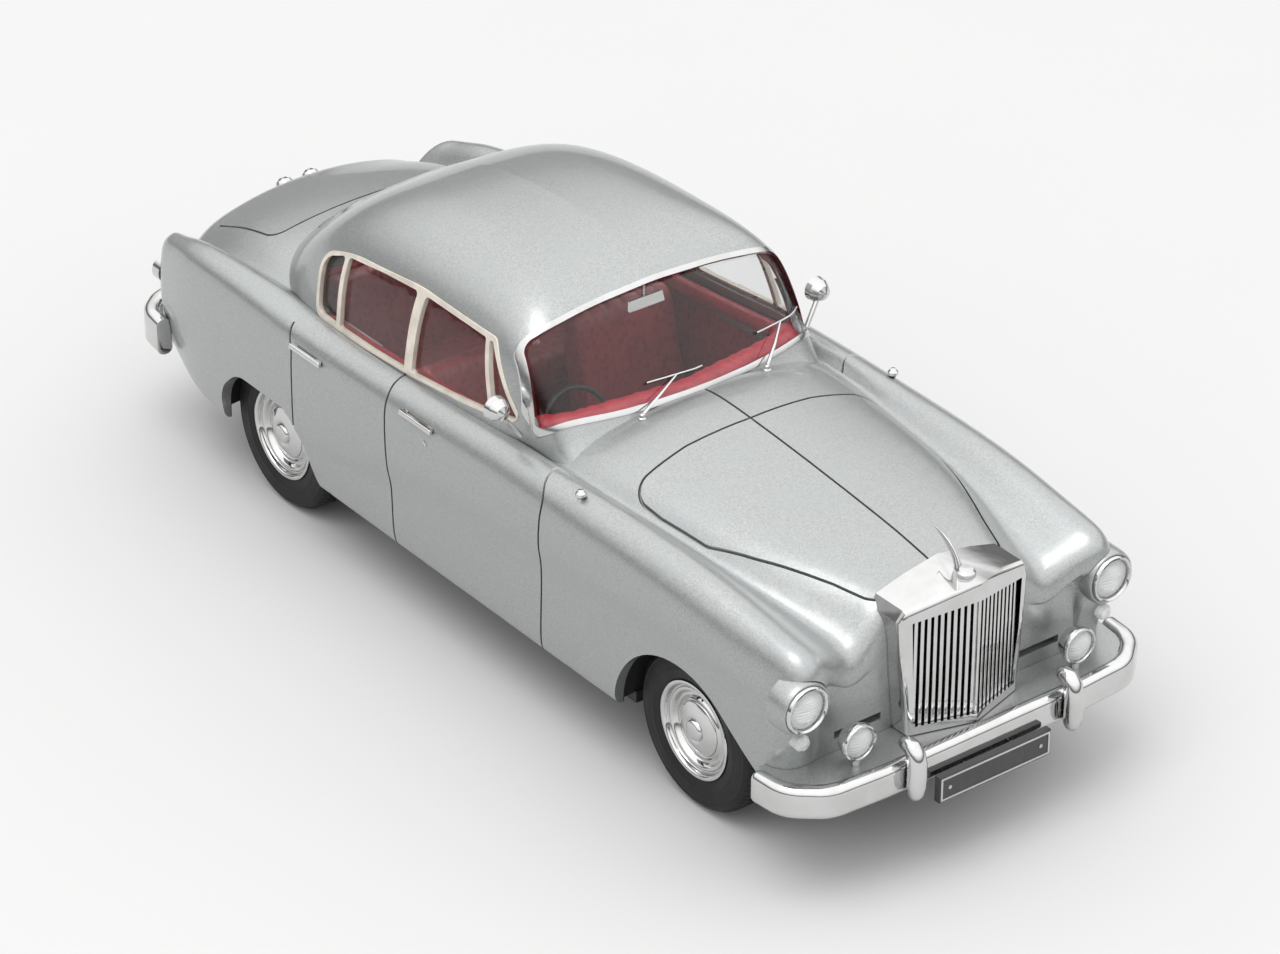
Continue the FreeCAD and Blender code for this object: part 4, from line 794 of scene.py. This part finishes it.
def wiper(name, x, y, across, rise):
    """A spindle on the cowl at (x, y), a tapered arm up the screen to a tip that far across and up from it,
    and a blade with its rubber across the arm's tip."""
    foot, _ = landing(body_skin, (x, y, OUTSIDE), (0, 0, -1))
    tip, normal = landing(screen_skin, (x + across, -OUTSIDE, foot.z + rise), (0, 1, 0))
    turned(f"wiper_spindle_{name}", SPINDLE, foot, UP, "chrome", steps=32)
    knuckle = foot + UP * KNUCKLE_RISE
    tip = tip + normal * ARM_CLEARANCE
    middle = knuckle.lerp(tip, 0.5) + normal * ARM_BOW
    line = [knuckle, knuckle.lerp(middle, 0.5), middle, middle.lerp(tip, 0.5), tip]
    arm = tube(f"wiper_arm_{name}", line, ARM_RADII, "chrome", sides=10, flat=0.6)
    blade, edge = [], []
    for i in range(BLADE_POINTS):
        along = tip.x + BLADE_HALF * (2 * i / (BLADE_POINTS - 1) - 1)
        point, up = landing(screen_skin, (along, -OUTSIDE, tip.z - BLADE_DROP), (0, 1, 0))
        if point:
            blade.append(point + up * BLADE_CLEARANCE)
            edge.append(point + up * RUBBER_CLEARANCE)
    bar(f"wiper_blade_{name}", blade, 0.11 * MM, "chrome", sides=10)
    bar(f"wiper_rubber_{name}", edge, 0.1 * MM, "black_plastic", sides=8, flat=1.6)
    return arm


low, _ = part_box("wipers")
right_arm = wiper("right", low.x + 0.4 * MM, low.y + 0.4 * MM, 5.8 * MM, 1.9 * MM)
wiper("left", -low.x - 0.4 * MM, low.y + 0.6 * MM, 4.2 * MM, 2.4 * MM)
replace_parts(right_arm, "wipers")


def door_lock(side, sign):
    """A small lock below the front handle."""
    handle, _ = min(islands("door_handles_" + side), key=lambda box: box[0].y)
    start = (sign * OUTSIDE, handle.y + LOCK_BACK, handle.z - LOCK_DROP)
    foot, normal = landing(body_skin, start, (-sign, 0, 0))
    turned("lock_" + side, LOCK, foot, normal, "screen_trim", steps=24)


for side, sign in SIDES.items():
    door_lock(side, sign)


# ------------------------------------------------------------------ cabin
PLEAT_DEPTH = 0.16 * MM
PLEAT_STEPS = 8
SEAT_END = 0.9 * MM
END_SHRINK = 0.14
# Shares of a seat's depth and height, and how far the back starts above the seat's foot.
CUSHION_DEPTH = 0.82
CUSHION_HEIGHT = 0.38
BACK_START = 0.6
BACK_LIFT = 2 * MM


def softened(outline):
    """A closed outline with its corners cut twice, each cut a quarter of the way along a side."""
    ring = list(outline)
    for _ in range(2):
        finer = []
        for a, b in zip(ring, ring[1:] + ring[:1]):
            finer.append((a[0] * 0.75 + b[0] * 0.25, a[1] * 0.75 + b[1] * 0.25))
            finer.append((a[0] * 0.25 + b[0] * 0.75, a[1] * 0.25 + b[1] * 0.75))
        ring = finer
    return ring


CUSHION = softened([(0.0, 0.0), (0.0, 0.85), (0.12, 1.0), (0.5, 0.94), (1.0, 0.9), (1.0, 0.0)])
BACKREST = softened([(0.0, 0.0), (0.0, 0.14), (0.34, 0.72), (0.48, 0.98), (0.74, 1.0), (1.0, 0.9),
                     (0.8, 0.4), (0.62, 0.0)])


def pleated(name, low, high, outline, pleats):
    """A seat part lofted across the car: an outline in shares of its box's depth and height, rounded off at
    both ends, with a shallow valley at every pleat."""
    size = high - low
    middle_u, middle_v = (sum(values) / len(outline) for values in zip(*outline))
    rings = []
    for i in range(pleats * PLEAT_STEPS + 1):
        share = i / (pleats * PLEAT_STEPS)
        edge = min(share, 1 - share) * size.x
        round_off = math.sqrt(max(0.0, 1 - (1 - min(edge / SEAT_END, 1)) ** 2))
        valley = PLEAT_DEPTH * (1 - abs(math.sin(math.pi * pleats * share))) ** 2
        centre = low + Vector((size.x * share, size.y * middle_u, size.z * middle_v))
        ring = []
        for u, v in outline:
            away = Vector((0, size.y * (u - middle_u), size.z * (v - middle_v)))
            ring.append(centre + away * (1 - END_SHRINK * (1 - round_off) - valley / away.length))
        rings.append(ring)
    return lofted(name, rings, "seat_plastic", smooth=60)


def seat(name, node, pleats):
    """A pleated cushion and a pleated back that leans."""
    low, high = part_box(node)
    size = high - low
    cushion_high = Vector((high.x, low.y + size.y * CUSHION_DEPTH, low.z + size.z * CUSHION_HEIGHT))
    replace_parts(pleated(name + "_cushion", low, cushion_high, CUSHION, pleats), node)
    back_low = Vector((low.x, low.y + size.y * BACK_START, low.z + BACK_LIFT))
    pleated(name + "_back", back_low, high, BACKREST, pleats)


for side in SIDES:
    seat("front_seat_trim_" + side, "front_seat_" + side, 6)
seat("rear_seat_trim", "rear_seat", 12)

WAIST_LOW = 26.4 * MM
WAIST_RISE = 2.4 * MM
WAIST_REAR = 27.3 * MM
WAIST_LENGTH = 35.5 * MM
CAP_OUT = 17.0 * MM
CAP_DROP = 1.3 * MM
CAP_RADIUS = 0.9 * MM
CAP_POINTS = 9
ROLL_RADIUS = 1.5 * MM
ROLL_RISE = 0.35 * MM
ROLL_GAP = 0.9 * MM
ROLL_STEPS = 60


def waist(y):
    """The height of the body's waistline, which rises forwards as a parabola."""
    return WAIST_LOW + WAIST_RISE * ((WAIST_REAR - y) / WAIST_LENGTH) ** 2


def door_cap(side, sign):
    """The padded roll along the top of the door trim, from one end of the side glass to the other."""
    low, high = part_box("side_glass_" + side)
    line = []
    for i in range(CAP_POINTS):
        y = low.y + (high.y - low.y) * (0.02 + 0.96 * i / (CAP_POINTS - 1))
        line.append(Vector((sign * CAP_OUT, y, waist(y) - CAP_DROP)))
    bar("door_cap_" + side, line, CAP_RADIUS, "cabin_plastic", sides=20)


def dash_roll():
    """The padded and creased roll along the foot of the windscreen, as far from the glass all the way."""
    low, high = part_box("dashboard")
    start, end, height = low.x - 0.2 * MM, high.x + 0.2 * MM, high.z + ROLL_RISE
    line, radii = [], []
    for i in range(ROLL_STEPS + 1):
        x = start + (end - start) * i / ROLL_STEPS
        glass, _ = landing(screen_skin, (x, 0, height + 1.2 * MM), (0, -1, 0))
        if glass:
            line.append(Vector((x, glass.y + ROLL_RADIUS + ROLL_GAP, height)))
            crease = 0.5 + 0.5 * math.sin(i * 1.9 + 1.3 * math.sin(i * 0.7))
            radii.append(ROLL_RADIUS * (0.9 + 0.1 * crease))
    radii[0] = radii[-1] = 0.7 * ROLL_RADIUS
    return tube("dash_roll", line, radii, "cabin_plastic", sides=28)


for side, sign in SIDES.items():
    door_cap(side, sign)
dash_roll()


# ------------------------------------------------------------------ studio
EYE = (-0.2622, -0.34875, 0.2725)
AZIMUTH = math.radians(-37.35)
ELEVATION = math.radians(30.79)
FOCAL_LENGTH = 135.7
KEY_PLACE = (-0.36, -0.1, 1.2)
KEY_SIZE = 0.8
KEY_POWER = 5.0
CAR_MIDDLE = (0.0, 0.0, 0.02)
# Brightness of the room from the horizon and all below it (0) to straight up (1).
ROOM = ((0.0, 0.20), (0.16, 0.22), (0.32, 0.95), (0.5, 1.45), (1.0, 1.6))
REAR_DIMMING = -0.08
FLOOR_HALF = 6.0


def camera():
    """A view from high on the front right-hand corner, through a long lens."""
    data = bpy.data.cameras.new("camera")
    data.lens = FOCAL_LENGTH
    data.sensor_width = 36.0
    data.clip_start = 0.01
    data.clip_end = 20.0
    eye = bpy.data.objects.new("camera", data)
    ahead = Vector((-math.sin(AZIMUTH) * math.cos(ELEVATION), math.cos(AZIMUTH) * math.cos(ELEVATION),
                    -math.sin(ELEVATION)))
    eye.location = EYE
    eye.rotation_mode = "QUATERNION"
    eye.rotation_quaternion = ahead.to_track_quat("-Z", "Y")
    bpy.context.scene.collection.objects.link(eye)
    bpy.context.scene.camera = eye


def key_light():
    """A square soft box overhead that faces the car."""
    data = bpy.data.lights.new("key", "AREA")
    data.shape = "SQUARE"
    data.size = KEY_SIZE
    data.energy = KEY_POWER
    lamp = bpy.data.objects.new("key", data)
    lamp.location = KEY_PLACE
    lamp.rotation_mode = "QUATERNION"
    lamp.rotation_quaternion = (Vector(CAR_MIDDLE) - Vector(KEY_PLACE)).to_track_quat("-Z", "Y")
    bpy.context.scene.collection.objects.link(lamp)


def studio_air():
    """A room that is white overhead and in front and dim low behind, so that plating has something dark
    to show."""
    world = bpy.data.worlds.new("studio")
    world.use_nodes = True
    bpy.context.scene.world = world
    tree = world.node_tree
    rise = tree.nodes.new("ShaderNodeSeparateXYZ")
    tree.links.new(tree.nodes.new("ShaderNodeTexCoord").outputs["Generated"], rise.inputs[0])
    ramp = tree.nodes.new("ShaderNodeValToRGB")
    while len(ramp.color_ramp.elements) < len(ROOM):
        ramp.color_ramp.elements.new(0.5)
    for element, (position, value) in zip(ramp.color_ramp.elements, ROOM):
        element.position = position
        element.color = grey(value)
    lift = tree.nodes.new("ShaderNodeMath")
    lift.operation = "MULTIPLY_ADD"
    lift.inputs[1].default_value = REAR_DIMMING
    tree.links.new(rise.outputs[1], lift.inputs[0])
    tree.links.new(rise.outputs[2], lift.inputs[2])
    tree.links.new(lift.outputs[0], ramp.inputs[0])
    tree.links.new(ramp.outputs[0], tree.nodes["Background"].inputs["Color"])


def floor():
    """A wide pale floor, which is not part of the object."""
    data = bpy.data.meshes.new("floor")
    data.from_pydata([(dx * FLOOR_HALF, dy * FLOOR_HALF, 0) for dx, dy in CORNERS], [], [(0, 1, 2, 3)])
    data.materials.append(studio_card())
    ground = bpy.data.objects.new("floor", data)
    bpy.context.scene.collection.objects.link(ground)
    ground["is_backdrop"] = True


camera()
key_light()
studio_air()
floor()
bpy.context.scene.view_settings.view_transform = "Standard"

low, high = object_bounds()
